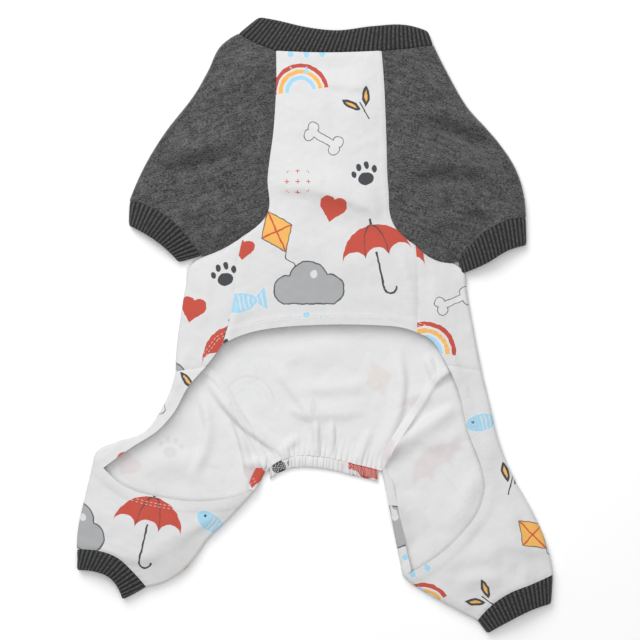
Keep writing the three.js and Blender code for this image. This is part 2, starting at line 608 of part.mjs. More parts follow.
// A hind leg: closed round the shin, open to the belly above it, with its free edge turned over
function hindLeg(name, lines) {
  const knee = foldShare(lines.kneeLine);
  const crotch = foldShare(lines.legHem);
  const shin = foldShare(lines.legSeam);
  const low = foldShare(lines.kneeLow);
  const hip = sample(lines.hipSeam, HIP_COLUMNS, foldShare(lines.hipSeam), 1);
  const kneeLine = sample(lines.kneeLine, HIP_COLUMNS, knee, 1);
  const hem = sample(lines.hem, HIP_ROWS, lines.split, 1);
  const backSeam = floored(sample(lines.backSeam, COLUMNS, foldShare(lines.backSeam), 1));
  const kneeLow = floored(sample(lines.kneeLow, COLUMNS, low, 1 - low));

  const hipOutline = sample(lines.hipFold, HIP_ROWS);
  const hipUpper = foldEdge(hipOutline, hem, FOLD_LIFT);
  hipUpper[0] = hip[0];
  hipUpper[HIP_ROWS] = kneeLine[0];
  const hipLower = floored(hipUpper);
  hipLower[0] = backSeam[0];
  hipLower[HIP_ROWS] = kneeLow[0];

  const hemEnd = lines.legHem(1 - crotch);
  const crotchOutline = sample(lines.crotchEdge, HIP_ROWS);
  const turnLower = floored(foldEdge(crotchOutline, hipOutline, 0));
  turnLower[0] = backSeam[COLUMNS];
  turnLower[HIP_ROWS] = kneeLow[COLUMNS];
  const turnUpper = turnLower.map((p, i) =>
    place(p.x, p.y, THREE.MathUtils.lerp(TURN_LIFT, hemEnd.z, i / HIP_ROWS)));
  turnUpper[HIP_ROWS] = hemEnd;
  const turnEdge = turnUpper.map((p, i) => {
    const q = between(p, hipOutline[i], (TURNED_EDGE - FOLD_RADIUS) / flatLength(p, hipOutline[i]));
    return place(q.x, q.y, p.z);
  });

  const outerOutline = sample(lines.outerFold, LEG_ROWS);
  const innerOutline = sample(lines.innerFold, LEG_ROWS);
  const top = joined(kneeLine, sample(lines.legHem, COLUMNS - HIP_COLUMNS, 0, 1 - crotch));
  const bottom = sample(lines.legSeam, COLUMNS, shin, 1 - shin);
  const outerUpper = foldEdge(outerOutline, innerOutline, FOLD_LIFT);
  const innerUpper = foldEdge(innerOutline, outerOutline, FOLD_LIFT);
  [outerUpper[0], innerUpper[0]] = [top[0], top[COLUMNS]];
  [outerUpper[LEG_ROWS], innerUpper[LEG_ROWS]] = [bottom[0], bottom[COLUMNS]];
  const outerLower = floored(outerUpper);
  const innerLower = floored(innerUpper);
  [outerLower[0], innerLower[0]] = [kneeLow[0], kneeLow[COLUMNS]];

  const relief = (s, w) => foldRelief(FOLDS[name], LEG_PUFF, s, w);
  const wraps = (upper, outline, lower, away) => outline.map((p, i) =>
    folded(upper[i], p, lower[i], i ? undefined : away));
  return new Cloth(COTTON_WALL)
    .add(spread(hip, kneeLine, hipUpper, hem))
    .add(wraps(hipUpper, hipOutline, hipLower))
    .add(spread(backSeam, kneeLow, hipLower, turnLower))
    .add(wraps(turnUpper, crotchOutline, turnLower, hipOutline[0]))
    .add(turnEdge.map((p, i) => [p, turnUpper[i]]))
    .add(spread(top, bottom, outerUpper, innerUpper, relief))
    .add(wraps(outerUpper, outerOutline, outerLower))
    .add(wraps(innerUpper, innerOutline, innerLower))
    .add(spread(kneeLow, floored(bottom), outerLower, innerLower))
    .solid();
}

// The whole way round a flattened band at one height of it, as evenly spaced places
function aroundBand(curve, count) {
  const share = foldShare(curve);
  const upper = sample(curve, BAND_STEPS, 1 - share, share);
  const lower = floored(upper).reverse();
  const leftFold = folded(upper[BAND_STEPS], curve(0), lower[0]);
  const rightFold = folded(upper[0], curve(1), lower[BAND_STEPS]).reverse();
  const path = joined(upper, leftFold, lower, rightFold);
  const facing = (k) => path[k].facing ?? place(0, 0, k <= BAND_STEPS ? 1 : -1);
  const ways = waysAlong(path);
  let k = 0;
  return Array.from({ length: count }, (_, i) => {
    while (ways[k + 1] < i / count) k += 1;
    const share = (i / count - ways[k]) / (ways[k + 1] - ways[k]);
    const p = between(path[k], path[k + 1], share);
    p.facing = between(facing(k), facing(k + 1), share).normalize();
    return p;
  });
}

// A knitted band from its seam to its free edge, ribbed all round
function ribbedBand(seam, edge) {
  const levels = [0, 0.5, 1];
  const level = (share) => (t) => {
    const [a, b] = [seam(t), edge(t)];
    const p = between(a, b, Math.max(share, SEAM_GAP / 2 / flatLength(a, b)));
    p.z += RIB_SWELL * Math.sin(Math.PI * share) * Math.sin(Math.PI * t);
    return p;
  };
  const ribs = Math.round((2 * flatLength(edge(0), edge(1))) / RIB_PITCH);
  const count = 2 * ribs;
  const rows = levels.map((share) => aroundBand(level(share), count));
  const sunk = (i, k, depth) => rows[i][k].clone().addScaledVector(rows[i][k].facing, -depth);
  const places = [];
  rows.forEach((row, i) => row.forEach((_, k) => places.push(sunk(i, k, k % 2 ? RIB_DEPTH : 0))));
  const inside = places.length;
  rows.forEach((_, i) => {
    for (let rib = 0; rib < ribs; rib += 1) places.push(sunk(i, 2 * rib, RIB_DEPTH + RIB_WALL));
  });
  const out = (i, k) => i * count + (k % count);
  const inn = (i, rib) => inside + i * ribs + (rib % ribs);
  const faces = [];
  for (let i = 0; i < levels.length - 1; i += 1) {
    for (let k = 0; k < count; k += 1) {
      const [a, b, c, d] = [out(i, k), out(i, k + 1), out(i + 1, k + 1), out(i + 1, k)];
      faces.push([a, c, b], [a, d, c]);
    }
    for (let r = 0; r < ribs; r += 1) {
      const [a, b, c, d] = [inn(i, r), inn(i, r + 1), inn(i + 1, r + 1), inn(i + 1, r)];
      faces.push([a, b, c], [a, c, d]);
    }
  }
  [0, levels.length - 1].forEach((i) => {
    for (let r = 0; r < ribs; r += 1) {
      const [a, b, c] = [out(i, 2 * r), out(i, 2 * r + 1), out(i, 2 * r + 2)];
      const [d, e] = [inn(i, r), inn(i, r + 1)];
      const lip = [[a, b, d], [b, e, d], [b, c, e]];
      faces.push(...(i ? lip.map(([p, q, s]) => [p, s, q]) : lip));
    }
  });
  const [start, beside, below] = [rows[0][0], rows[0][1], rows[1][0]];
  const faceUp = below.clone().sub(start).cross(beside.clone().sub(start)).z > 0;
  return solidGeometry(places, faceUp ? faces : faces.map(([a, b, c]) => [a, c, b]));
}

// The tail casing: a thick gathered tube on the seam's line
function tailCasing() {
  const steps = 2 * CASING_GATHERS;
  const clear = SEAM_GAP + FOLD_RADIUS;
  const share = clear / TAIL_WIDTH;
  const path = sample(TAIL_SEAM, steps, share, 1 - share);
  const places = path.flatMap((p, i) => {
    const gather = (i % 2 ? -1 : 1) * GATHER_DEPTH;
    const thick = CASING_THICKNESS + gather;
    const top = -CASING_CLEARANCE;
    const low = -CASING_HEIGHT - gather / 2;
    const section = [
      [top, 0], [low, 0], [low, thick / 2],
      [low + CASING_BEVEL, thick], [top - CASING_BEVEL, thick], [top, thick / 2],
    ];
    return section.map(([y, z]) => place(p.x, p.y + y, z));
  });
  const ring = places.length / path.length;
  const faces = [];
  for (let i = 0; i < steps; i += 1) {
    for (let k = 0; k < ring; k += 1) {
      const [a, b] = [i * ring + k, i * ring + ((k + 1) % ring)];
      faces.push([a, b, b + ring], [a, b + ring, a + ring]);
    }
  }
  for (let k = 1; k < ring - 1; k += 1) {
    const end = steps * ring;
    faces.push([0, k + 1, k], [end, end + k, end + k + 1]);
  }
  return solidGeometry(places, faces.map(([a, b, c]) => [a, c, b]));
}

const jumpsuit = new THREE.Group();
const neckSeam = chain(SIDES.left.neck, NECK_FRONT, backwards(SIDES.right.neck));
jumpsuit.add(
  piece("collar", ribbedBand(neckSeam, COLLAR_EDGE), "rib"),
  piece("chest_panel", chestPanel(), "cotton"),
  piece("back_panel", backPanel(), "cotton"),
  piece("tail_casing", tailCasing(), "cotton"),
);
for (const [name, lines] of Object.entries(SIDES)) {
  jumpsuit.add(
    piece(`sleeve_${name}`, sleeve(`sleeve_${name}`, lines), "fleece"),
    piece(`sleeve_cuff_${name}`, ribbedBand(lines.cuffSeam, lines.cuffEdge), "rib"),
    piece(`hind_leg_${name}`, hindLeg(`hind_leg_${name}`, lines), "cotton"),
    piece(`leg_cuff_${name}`, ribbedBand(lines.legSeam, lines.legEdge), "rib"),
  );
}
const box = new THREE.Box3().setFromObject(jumpsuit);
const centre = box.getCenter(place(0, 0));
jumpsuit.position.set(-centre.x, -centre.y, -box.min.z);

export default jumpsuit;
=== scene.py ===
"""Builds a small dog's jumpsuit, laid flat with its belly side up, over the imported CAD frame."""

import math
from types import SimpleNamespace

import bmesh
import bpy
import numpy as np
from bpy.props import FloatProperty, FloatVectorProperty, PointerProperty
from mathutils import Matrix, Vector


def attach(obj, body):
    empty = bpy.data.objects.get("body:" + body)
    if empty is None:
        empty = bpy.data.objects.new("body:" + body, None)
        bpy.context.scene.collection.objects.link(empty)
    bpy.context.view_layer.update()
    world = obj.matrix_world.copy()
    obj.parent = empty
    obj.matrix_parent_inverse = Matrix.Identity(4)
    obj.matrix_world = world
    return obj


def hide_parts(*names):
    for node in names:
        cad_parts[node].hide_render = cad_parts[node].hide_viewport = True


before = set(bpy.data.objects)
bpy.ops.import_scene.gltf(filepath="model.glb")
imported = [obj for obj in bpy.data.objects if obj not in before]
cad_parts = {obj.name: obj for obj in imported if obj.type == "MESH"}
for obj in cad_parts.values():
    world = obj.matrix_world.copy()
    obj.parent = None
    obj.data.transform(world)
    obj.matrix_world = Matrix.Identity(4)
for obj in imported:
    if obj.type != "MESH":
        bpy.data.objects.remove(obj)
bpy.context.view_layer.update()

bl_info = {
    "name": "Dog jumpsuit",
    "version": (1, 0, 0),
    "blender": (4, 5, 0),
    "location": "View3D > Sidebar > Jumpsuit",
    "description": "A small dog's jumpsuit of printed cotton, fleece and rib knit, laid flat",
    "category": "Add Mesh",
}

MM = 0.001

# The middle of the chest's neck seam in the frame, in millimetres
NECK_PLACE = (9.65, 191.59)

# The square that the camera sees, in millimetres, and its middle and its height in the frame
VIEW_WIDTH = 448.0
VIEW_HEIGHT = 5.0
VIEW_MIDDLE = (3.5, 3.7)

# How the two sides lie, for each line: the share of its length that shows flat, and the degrees that it
# turns outwards from straight down the body
TURNS = {
    "left": {
        "neck": (0.89, 115), "raglan": (0.975, 10), "armhole": (1.01, 62.2), "underarm": (0.91, 85),
        "cuff_seam": (1.06, 127.6), "cuff_outer": (0.99, 1.4), "cuff_inner": (0.92, 74.5),
        "side": (1.037, 15), "chest_seam": (1.12, 11), "hip": (1.02, 42.1), "knee": (0.55, -70),
        "outer": (0.947, 10.5), "leg_seam": (0.946, -61.5), "leg_outer": (0.875, 0),
        "leg_inner": (1.14, 62.4), "inner": (1.26, -132), "collar": (0.94, -128.7),
    },
    "right": {
        "neck": (1.108, 97), "raglan": (1.025, 9.9), "armhole": (0.99, 64.7), "underarm": (1.09, 103.5),
        "cuff_seam": (0.942, 123.4), "cuff_outer": (1.11, 1.2), "cuff_inner": (0.5, 9.5),
        "side": (0.968, 15.3), "chest_seam": (0.88, 1), "hip": (0.974, 17.2), "knee": (1.49, -86.4),
        "outer": (1.053, 22.1), "leg_seam": (1.058, -58.5), "leg_outer": (1.24, -3.2),
        "leg_inner": (0.69, 38.4), "inner": (0.732, -120.9), "collar": (0.51, -159),
    },
}

# How the lines bow: pairs of place along and bulge, as shares of the chord
BOWS = {
    "left": {
        "neck": ((0.54, 0.035),),
        "raglan": ((0.2, -0.035), (0.41, -0.059), (0.68, -0.074), (0.86, -0.104)),
        "armhole": ((0.6, -0.04),),
        "cuff_seam": ((0.22, -0.09), (0.5, -0.12), (0.79, -0.067)),
        "cuff_edge": ((0.19, -0.039), (0.58, -0.064)),
        "sleeve_fold": ((0.1, 0.04), (0.24, 0.024), (0.39, 0.017), (0.6, 0.036), (0.79, 0.033)),
        "side": ((0.12, 0.115), (0.28, 0.107), (0.5, 0.085), (0.78, 0.05)),
        "chest_seam": ((0.25, 0.008), (0.58, -0.02)),
        "hip": ((0.24, -0.102), (0.54, -0.138), (0.75, -0.024), (0.9, 0.04)),
        "hem": ((0.15, -0.018), (0.32, -0.028), (0.48, -0.071), (0.63, -0.076), (0.8, -0.036)),
        "outer": ((0.37, 0.018), (0.77, 0.03)),
        "leg_seam": ((0.26, -0.127), (0.5, -0.163), (0.74, -0.104)),
        "leg_edge": ((0.4, -0.203), (0.66, -0.206)),
        "inner": ((0.3, -0.03), (0.46, -0.034), (0.7, -0.079), (0.87, -0.064)),
        "leg_hem": ((0.15, 0.098), (0.38, 0.139), (0.64, 0.134), (0.86, 0.077)),
        "back_seam": ((0.13, -0.14), (0.52, -0.11)),
    },
    "right": {
        "neck": ((0.55, 0.017),),
        "raglan": ((0.2, -0.02), (0.44, -0.052), (0.69, -0.086), (0.88, -0.09)),
        "armhole": ((0.58, -0.117),),
        "cuff_seam": ((0.31, -0.118), (0.6, -0.131), (0.83, -0.075)),
        "cuff_edge": ((0.27, -0.038), (0.64, 0.003)),
        "sleeve_fold": ((0.21, -0.005), (0.36, 0.002), (0.6, 0.058), (0.75, 0.071), (0.87, 0.052)),
        "side": ((0.1, 0.08), (0.28, 0.059), (0.57, 0.033), (0.82, 0.013)),
        "chest_seam": ((0.39, 0.018),),
        "hip": ((0.24, -0.014), (0.57, -0.036), (0.75, -0.029)),
        "hem": ((0.07, 0.058), (0.19, 0.08), (0.42, 0.085), (0.66, 0.039), (0.87, 0.028)),
        "outer": ((0.35, 0.046), (0.69, 0.054)),
        "leg_seam": ((0.28, -0.042), (0.52, -0.087), (0.77, -0.073)),
        "leg_edge": ((0.32, -0.049), (0.66, -0.042)),
        "inner": ((0.22, -0.03), (0.62, -0.021)),
        "leg_hem": ((0.18, 0.09), (0.4, 0.115), (0.66, 0.097)),
        "back_seam": ((0.13, -0.14), (0.52, -0.11)),
    },
}
HEM_SPLIT = {"left": 0.16, "right": 0.25}

# The lines that cross the body, from the left side to the right one
NECK_BOWS = ((0.46, -0.017),)
COLLAR_BOWS = ((0.1, -0.012), (0.28, -0.04), (0.47, -0.044), (0.67, -0.003), (0.86, 0.023))
BELLY_BOWS = ((0.1, 0.041), (0.22, 0.064), (0.46, 0.071), (0.8, 0.049), (0.93, 0.028))
TAIL_BOWS = ((0.12, 0.085), (0.24, 0.129), (0.5, 0.121), (0.76, 0.064))

# The main soft folds of the upper layer: two ends as shares along and across the piece, the rise as a
# share of its puff and the width as a share of the piece's own. They fade near the edges.
FOLD_FADE = 0.16
FOLDS = {
    "sleeve_left": (
        ((0.5, 0.1), (0.42, 0.75), -0.6, 0.1),
        ((0.62, 0.1), (0.48, 0.85), 0.6, 0.09),
        ((0.84, 0.2), (0.66, 0.75), -0.35, 0.1),
    ),
    "sleeve_right": (
        ((0.55, 0.1), (0.38, 0.7), -0.6, 0.1),
        ((0.72, 0.1), (0.45, 0.85), 0.6, 0.1),
        ((0.85, 0.2), (0.66, 0.85), -0.45, 0.09),
    ),
    "chest_panel": (
        ((0.47, 0.2), (0.56, 0.85), 0.7, 0.1),
        ((0.52, 0.12), (0.64, 0.7), -0.5, 0.1),
        ((0.16, 0.45), (0.2, 0.9), 0.4, 0.08),
    ),
    "hind_leg_left": (
        ((0.2, 0.2), (0.7, 0.3), -0.4, 0.12),
        ((0.3, 0.85), (0.85, 0.6), 0.5, 0.1),
    ),
    "hind_leg_right": (
        ((0.15, 0.45), (0.8, 0.35), -0.5, 0.12),
        ((0.35, 0.15), (0.85, 0.25), 0.4, 0.1),
    ),
}

# The smaller creases: a path in millimetres in the frame, height, width and lean to its sharper side
UPPER_FOLDS = (
    (((-37, 90), (-10, 96), (21, 88), (54, 78)), 1.1, 9, 0.5),
    (((-10, 81), (24, 72), (56, 62)), -0.8, 12, 0.0),
    (((2, 173), (21, 166), (40, 167)), 0.5, 4, 0.3),
    (((-18, 183), (5, 179), (31, 181)), -0.4, 5, 0.0),
    (((-10, 137), (2, 116), (5, 100)), -0.5, 7, 0.0),
    (((26, 186), (29, 158), (24, 130)), 0.35, 6, 0.0),
    (((57, 53), (65, 28), (68, 4)), 0.6, 4, 0.4),
    (((86, 40), (83, 18), (88, -7)), 0.5, 6, 0.3),
    (((-74, 44), (-76, 18), (-79, -7)), 0.5, 5, -0.3),
    (((-52, 18), (-58, 0), (-65, -19)), 0.6, 4, 0.3),
    (((-83, -10), (-93, -28), (-97, -51)), 0.6, 5, 0.3),
    (((-38, 62), (-10, 53), (10, 55)), 0.5, 8, 0.0),
    (((58, 60), (31, 44), (4, 40)), 0.4, 9, 0.2),
    (((98, -47), (96, -24), (88, -9)), 0.6, 5, 0.3),
    (((111, -47), (120, -73), (125, -101)), 0.6, 6, 0.2),
    (((-115, -101), (-88, -136), (-77, -164)), -0.6, 10, 0.0),
    (((-83, -177), (-58, -147), (-37, -121)), 1.0, 3, 0.5),
    (((-150, -122), (-144, -140), (-148, -154)), 0.5, 7, 0.0),
    (((-108, -126), (-97, -150), (-103, -182)), 0.5, 7, 0.2),
    (((115, -164), (136, -154), (163, -162)), 0.7, 6, 0.3),
    (((88, -177), (115, -170), (144, -173)), -0.6, 6, 0.0),
    (((79, -180), (94, -192), (114, -201)), 0.6, 5, 0.0),
    (((144, -115), (153, -143), (163, -169)), 0.5, 5, 0.2),
    (((105, -185), (115, -175), (130, -182)), 0.5, 5, 0.0),
)
SLEEVE_FOLDS = (
    (((-110, 119), (-84, 122), (-45, 134)), 0.7, 7, 0.0),
    (((-120, 105), (-88, 110), (-48, 123)), -1.4, 6.5, 0.0),
    (((-115, 84), (-80, 90), (-46, 90)), -0.9, 9, 0.0),
    (((-93, 72), (-74, 84), (-52, 78)), 0.8, 6, 0.3),
    (((-80, 160), (-59, 169), (-37, 169)), 0.8, 9, 0.0),
    (((-55, 191), (-42, 184), (-33, 165)), 0.6, 6, 0.0),
    (((-76, 55), (-65, 65), (-46, 72)), 0.7, 5, 0.3),
    (((80, 151), (103, 144), (125, 133)), 0.8, 6, 0.0),
    (((74, 143), (102, 133), (131, 118)), -1.6, 5, 0.0),
    (((66, 108), (99, 113), (124, 101)), 0.6, 5, 0.0),
    (((64, 97), (99, 103), (120, 90)), -1.5, 5, 0.0),
    (((104, 85), (116, 81), (127, 74)), 0.7, 4, 0.0),
    (((104, 78), (115, 74), (124, 68)), -1.1, 3.5, 0.0),
    (((74, 62), (92, 72), (108, 69)), 0.8, 6, 0.3),
    (((62, 181), (74, 169), (92, 160)), 0.7, 8, 0.0),
    (((59, 78), (74, 83), (94, 85)), 0.6, 5, 0.3),
)
BACK_FOLDS = (
    (((-79, -33), (-57, -63), (-37, -80), (-19, -93)), 1.6, 3.2, 0.4),
    (((-60, -59), (-50, -87), (-46, -115)), 1.3, 2.6, 0.4),
    (((-83, -41), (-76, -66), (-78, -85), (-90, -115)), 1.1, 3.5, 0.3),
    (((-124, -101), (-102, -96), (-80, -101)), 0.8, 9, 0.0),
    (((-88, -52), (-108, -70), (-122, -86)), 0.8, 7, 0.0),
    (((-34, -19), (-14, -47), (-2, -66), (2, -93)), 0.8, 5, 0.3),
    (((0, -65), (1, -78), (0, -94)), 1.0, 1.6, 0.0),
    (((11, -65), (12, -80), (11, -94)), 1.0, 1.6, 0.0),
    (((-18, -43), (10, -44), (43, -41)), 0.7, 5, 0.0),
    (((-23, -59), (7, -62), (40, -58)), 0.8, 6, 0.2),
    (((-31, -29), (-4, -19), (31, -17)), 0.6, 8, 0.0),
    (((-10, -78), (-21, -87), (-16, -94)), 0.9, 3, 0.0),
    (((57, -12), (61, -38), (57, -66), (37, -99)), 1.3, 4, -0.3),
    (((85, -14), (90, -26), (88, -41)), 1.4, 4, 0.4),
    (((105, -54), (80, -68), (58, -85), (44, -101)), 1.8, 5, 0.4),
    (((74, -61), (61, -75), (46, -100)), 1.2, 3, 0.3),
    (((77, -19), (82, -33), (85, -44)), 1.2, 3, 0.3),
    (((26, -101), (33, -87), (40, -70)), 0.8, 3, 0.0),
    (((62, -47), (77, -50), (93, -47)), 0.7, 6, 0.0),
    (((74, -89), (88, -80), (103, -86)), 0.8, 8, 0.0),
    (((58, -113), (59, -136), (68, -156)), 0.9, 5, 0.0),
    (((113, -96), (106, -122), (93, -142)), 0.9, 7, 0.0),
    (((55, -101), (51, -118), (59, -143)), 1.0, 3.5, 0.3),
    (((-48, -101), (-40, -96), (-31, -101)), 0.8, 3, 0.0),
)

# The print's repeat and how far its lines wobble, in millimetres, and its inks. Each motif has its place
# across and up, its turn in degrees and its size.
PRINT_TILE = (208, 195)
PRINT_WOBBLE = 1.6
INKS = ("red", "mustard", "blue", "grey", "charcoal", "cotton")
PRINT_REPEAT = (
    ("rainbow", 198, 163, 8, 1.35),
    ("leaves", 33, 152, 30, 1.4),
    ("bone", 6, 130, -30, 1.35),
    ("paw", 35, 104, 16, 1.3),
    ("crosses", 196, 100, 0, 1.1),
    ("kite", 182, 64, 24, 1.6),
    ("heart", 12, 80, -14, 1.25),
    ("umbrella", 44, 46, 12, 1.9),
    ("cloud", 203, 26, 0, 2.1),
    ("drops", 202, 190, 0, 1.2),
    ("fish", 157, 16, 10, 1.5),
    ("umbrella", 112, 150, -16, 1.5),
    ("heart", 96, 112, 15, 1.2),
    ("rainbow", 132, 86, -6, 1.5),
    ("fish", 84, 70, -12, 1.3),
    ("cloud", 116, 36, 4, 1.6),
    ("drops", 118, 8, 0, 1.1),
    ("kite", 82, 178, 20, 1.4),
    ("bone", 152, 122, 22, 1.3),
    ("leaves", 84, 24, -40, 1.4),
    ("paw", 146, 176, -20, 1.25),
    ("crosses", 72, 132, 0, 1.1),
    ("heart", 158, 52, -8, 1.0),
)

# The tail casing's wall, its printed ends as shares of its length, where the print of its left and right
# half starts on the flat cloth, and how far it runs along, drifts up and goes round with each step
CASING_WALL = 0.6
CASING_ENDS = (0.17, 0.73)
CASING_PRINTS = ((139, 166), (190, 28))
CASING_PRINT_RUN = (78, 27, 1.1)

# Steps round a fold, along and up a band, across a rib, along a crease, a seam, a hem and the casing
FOLD_STEPS = 10
BAND_STEPS = 120
BAND_ROWS = 12
BAND_INNER_ROWS = 6
RIB_STEPS = 8
CREASE_STEPS = 23
SEAM_STEPS = 60
HEM_STEPS = 80
CASING_STEPS = 260
CASING_RING = 20

# How close places become one, in millimetres
MERGE = 0.02

# Heights in millimetres between which a place goes over from the lower layer to the upper one
LAYERS = (0.8, 5.0)

# Up to which angle in degrees the cloth is shaded smooth
SMOOTH_ANGLE = 60

# How deep the creases are, as a share of the heights in their tables, the fleece's own share of that,
# and how much of their length the creases take to fade in and out
CREASE_DEPTH = 2.2
FLEECE_DEPTH = 2.0
CREASE_FADE = 0.3

# Unevenness: how many waves it sums, and for each use its height, wavelength in millimetres and seed. The
# height is in millimetres, and in radians for the gathers and the pucker, whose waves it shifts.
RIPPLE_WAVES = 14
COTTON_RIPPLES = ((0.4, 26, 5), (0.14, 9, 6))
FLEECE_RIPPLE = (0.5, 30, 8)
INSIDE_RIPPLE = (0.25, 20, 7)
GATHER_RIPPLE = (2.0, 30, 9)
PUCKER_RIPPLE = (3.0, 25, 11)

# The seams of the upper layer, the height and reach in millimetres of what the seams and hems do to the
# cloth, and how many radians of gathers the tail has
UPPER_SEAMS = ("neck", "raglan", "armhole", "chest_seam", "hip_seam", "cuff_seam", "leg_seam")
SEAM_DIP = 0.55
SEAM_REACH = 1.3
PUCKER = 0.16
PUCKER_REACH = 4
LOW_SEAM = 1.0
LOW_SEAM_REACH = 1.6
HEM_THICKNESS = 0.45
TAIL_RISE = 0.8
TAIL_GATHERS = 1.3
TAIL_TURNS = 150
TAIL_REACH = 7

# Ribbed bands in millimetres: the gap at the seam, and how the seam pinches the band and its free edge rolls
SEAM_GAP = 0.2
SEAM_PINCH = 0.5
SEAM_PINCH_REACH = 1.2
EDGE_ROLL = 0.35

# Stitches in millimetres: width, thickness and gap, how far the rows lie from a hem's inner edge, and the
# zigzag's rows and pitch over the casing. It stops between two shares of the casing's length.
STITCH_WIDTH = 0.42
STITCH_THICKNESS = 0.34
STITCH_GAP = 0.7
STITCH_ROWS = (1.3, 3.3)
ZIGZAG_ROWS = (1.6, 3.4, 5.2)
ZIGZAG_PITCH = 1.3
ZIGZAG_ENDS = (0.16, 0.74)

# The lights' width and place and the floor in metres, and the camera's sensor in millimetres
LIGHTS = (("front_light", 1.4, (0.0, 0.0, 1.6)), ("side_light", 1.1, (-0.45, 0.95, 1.1)))
FLOOR_SIZE = 6
FLOOR_PLACE = (0, 0, -0.0004)
SENSOR_WIDTH = 36.0


# Sizes and colours


def length(name, description, millimetres):
    """A size in the sidebar, given here in millimetres."""
    return FloatProperty(
        name=name, description=description, default=millimetres * MM, min=0.0, unit="LENGTH", precision=4
    )


def colour(name, description, rgb):
    return FloatVectorProperty(
        name=name, description=description, default=rgb, subtype="COLOR", size=3, min=0.0, max=1.0
    )


class JumpsuitSizes(bpy.types.PropertyGroup):
    """Sizes of the cut pieces and how high the laid cloth stands."""

    chest_top_width: length("Chest top width", "Width of the chest at the collar's seam", 73.5)
    neck_side: length("Neck side", "From the chest to the neck's fold, along the seam", 33.4)
    collar_height: length("Collar height", "From the collar's seam to its free edge", 19)
    raglan_seam: length("Raglan seam", "From the collar to the armhole's corner", 134.5)
    armhole: length("Armhole", "From the raglan seam's end to the underarm", 29)
    side_length: length("Side length", "From the underarm to the hip seam", 81)
    chest_side_seam: length("Chest side seam", "Length of the chest's side seam", 69)
    back_length: length("Back length", "From the collar's seam to the tail", 294)
    tail_width: length("Tail width", "Width of the gathered casing's seam", 82)
    tail_offset: length("Tail offset", "How far the casing lies to the left", 3.6)
    casing_height: length("Casing height", "Height of the tail casing", 8)
    casing_thickness: length("Casing thickness", "Thickness of the tail casing", 3.4)
    sleeve_hem_width: length("Sleeve hem width", "Width of the sleeve at its cuff", 60)
    underarm_length: length("Underarm length", "From the underarm to the sleeve's cuff", 4.3)
    sleeve_cuff_height: length("Sleeve cuff height", "Height of the sleeve's cuff", 17)
    hip_length: length("Hip length", "From the hip seam to the knee", 85)
    leg_length: length("Leg length", "From the knee to the leg's cuff", 64.6)
    leg_hem_width: length("Leg hem width", "Width of the leg at its cuff", 59)
    inseam: length("Inseam", "Length of the leg's inner fold", 83)
    knee_strip: length("Knee strip", "Width of the cloth at the knee above the opening", 15)
    leg_cuff_height: length("Leg cuff height", "Height of the leg's cuff", 16)
    turned_edge: length("Turned edge", "Width of the leg opening's turned edge", 7)
    seam_allowance: length("Seam allowance", "Width of the cloth beyond the seams inside the back", 5)
    cotton_wall: length("Cotton wall", "Thickness of the cotton jersey", 1.2)
    fleece_wall: length("Fleece wall", "Thickness of the sleeves' fleece", 1.8)
    rib_wall: length("Rib wall", "Thickness of the rib knit under its ribs", 1.5)
    rib_depth: length("Rib depth", "Depth of the valleys between two ribs", 0.8)
    rib_pitch: length("Rib pitch", "Distance from one rib to the next", 3)
    fold_radius: length("Fold radius", "Radius of the folds round the outline", 3.2)
    neck_lift: length("Neck lift", "Height of the chest at the neck", 11)
    chest_lift: length("Chest lift", "Height of the chest at the armholes", 11)
    hem_lift: length("Hem lift", "Height of the belly's hem", 8.5)
    hip_lift: length("Hip lift", "Height of the hem at the knees", 7.6)
    underarm_lift: length("Underarm lift", "Height of the upper layer at the underarm", 5.4)
    underarm_drop: length("Underarm drop", "Height of the lower layer at the underarm", 1)
    cuff_rise: length("Cuff rise", "How far the sleeve's cuff stands up", 5)
    leg_rise: length("Leg rise", "How far the leg's cuff stands up", 4.4)
    turn_lift: length("Turn lift", "Height of the turned edge near the tail", 3.4)
    sleeve_puff: length("Sleeve puff", "How far the sleeves puff up", 4)
    chest_puff: length("Chest puff", "How far the chest puffs up", 2)
    leg_puff: length("Leg puff", "How far the legs puff up", 3)
    rib_swell: length("Rib swell", "How far the ribbed bands puff up", 0.8)
    hem_depth: length("Hem depth", "Width of the turned hems", 8)
    stitch_length: length("Stitch length", "Length of one stitch", 2.3)
    net: length("Net", "Distance between the places of the cloth's net", 1.8)


class JumpsuitColours(bpy.types.PropertyGroup):
    """Colours of the cloths and of the print."""

    cotton: colour("Cotton", "Right side of the cotton", (0.67, 0.67, 0.675))
    wrong_side: colour("Wrong side", "Wrong side of the cotton", (0.71, 0.71, 0.715))
    thread: colour("Thread", "Stitches", (0.78, 0.78, 0.785))
    fleece_dark: colour("Fleece, dark fibres", "Darker fibres of the fleece", (0.013, 0.013, 0.014))
    fleece_light: colour("Fleece, light fibres", "Lighter fibres of the fleece", (0.138, 0.138, 0.14))
    # The rib knit's two yarns: the light one shows only on the rib crests, as a painted highlight, and the
    # valleys keep the dark one, as painted shade
    rib_dark: colour("Rib, dark yarn", "Darker yarn of the rib knit", (0.010, 0.010, 0.011))
    rib_light: colour("Rib, light yarn", "Lighter yarn of the rib knit", (0.095, 0.096, 0.098))
    red: colour("Red ink", "Brick red of the print", (0.50, 0.055, 0.03))
    mustard: colour("Mustard ink", "Mustard yellow of the print", (0.80, 0.42, 0.09))
    blue: colour("Blue ink", "Light blue of the print", (0.34, 0.60, 0.76))
    grey: colour("Grey ink", "Mid grey of the print", (0.36, 0.365, 0.375))
    charcoal: colour("Charcoal ink", "Charcoal of the print", (0.035, 0.037, 0.042))
    floor: colour("Floor", "The floor under the garment", (0.97, 0.97, 0.97))


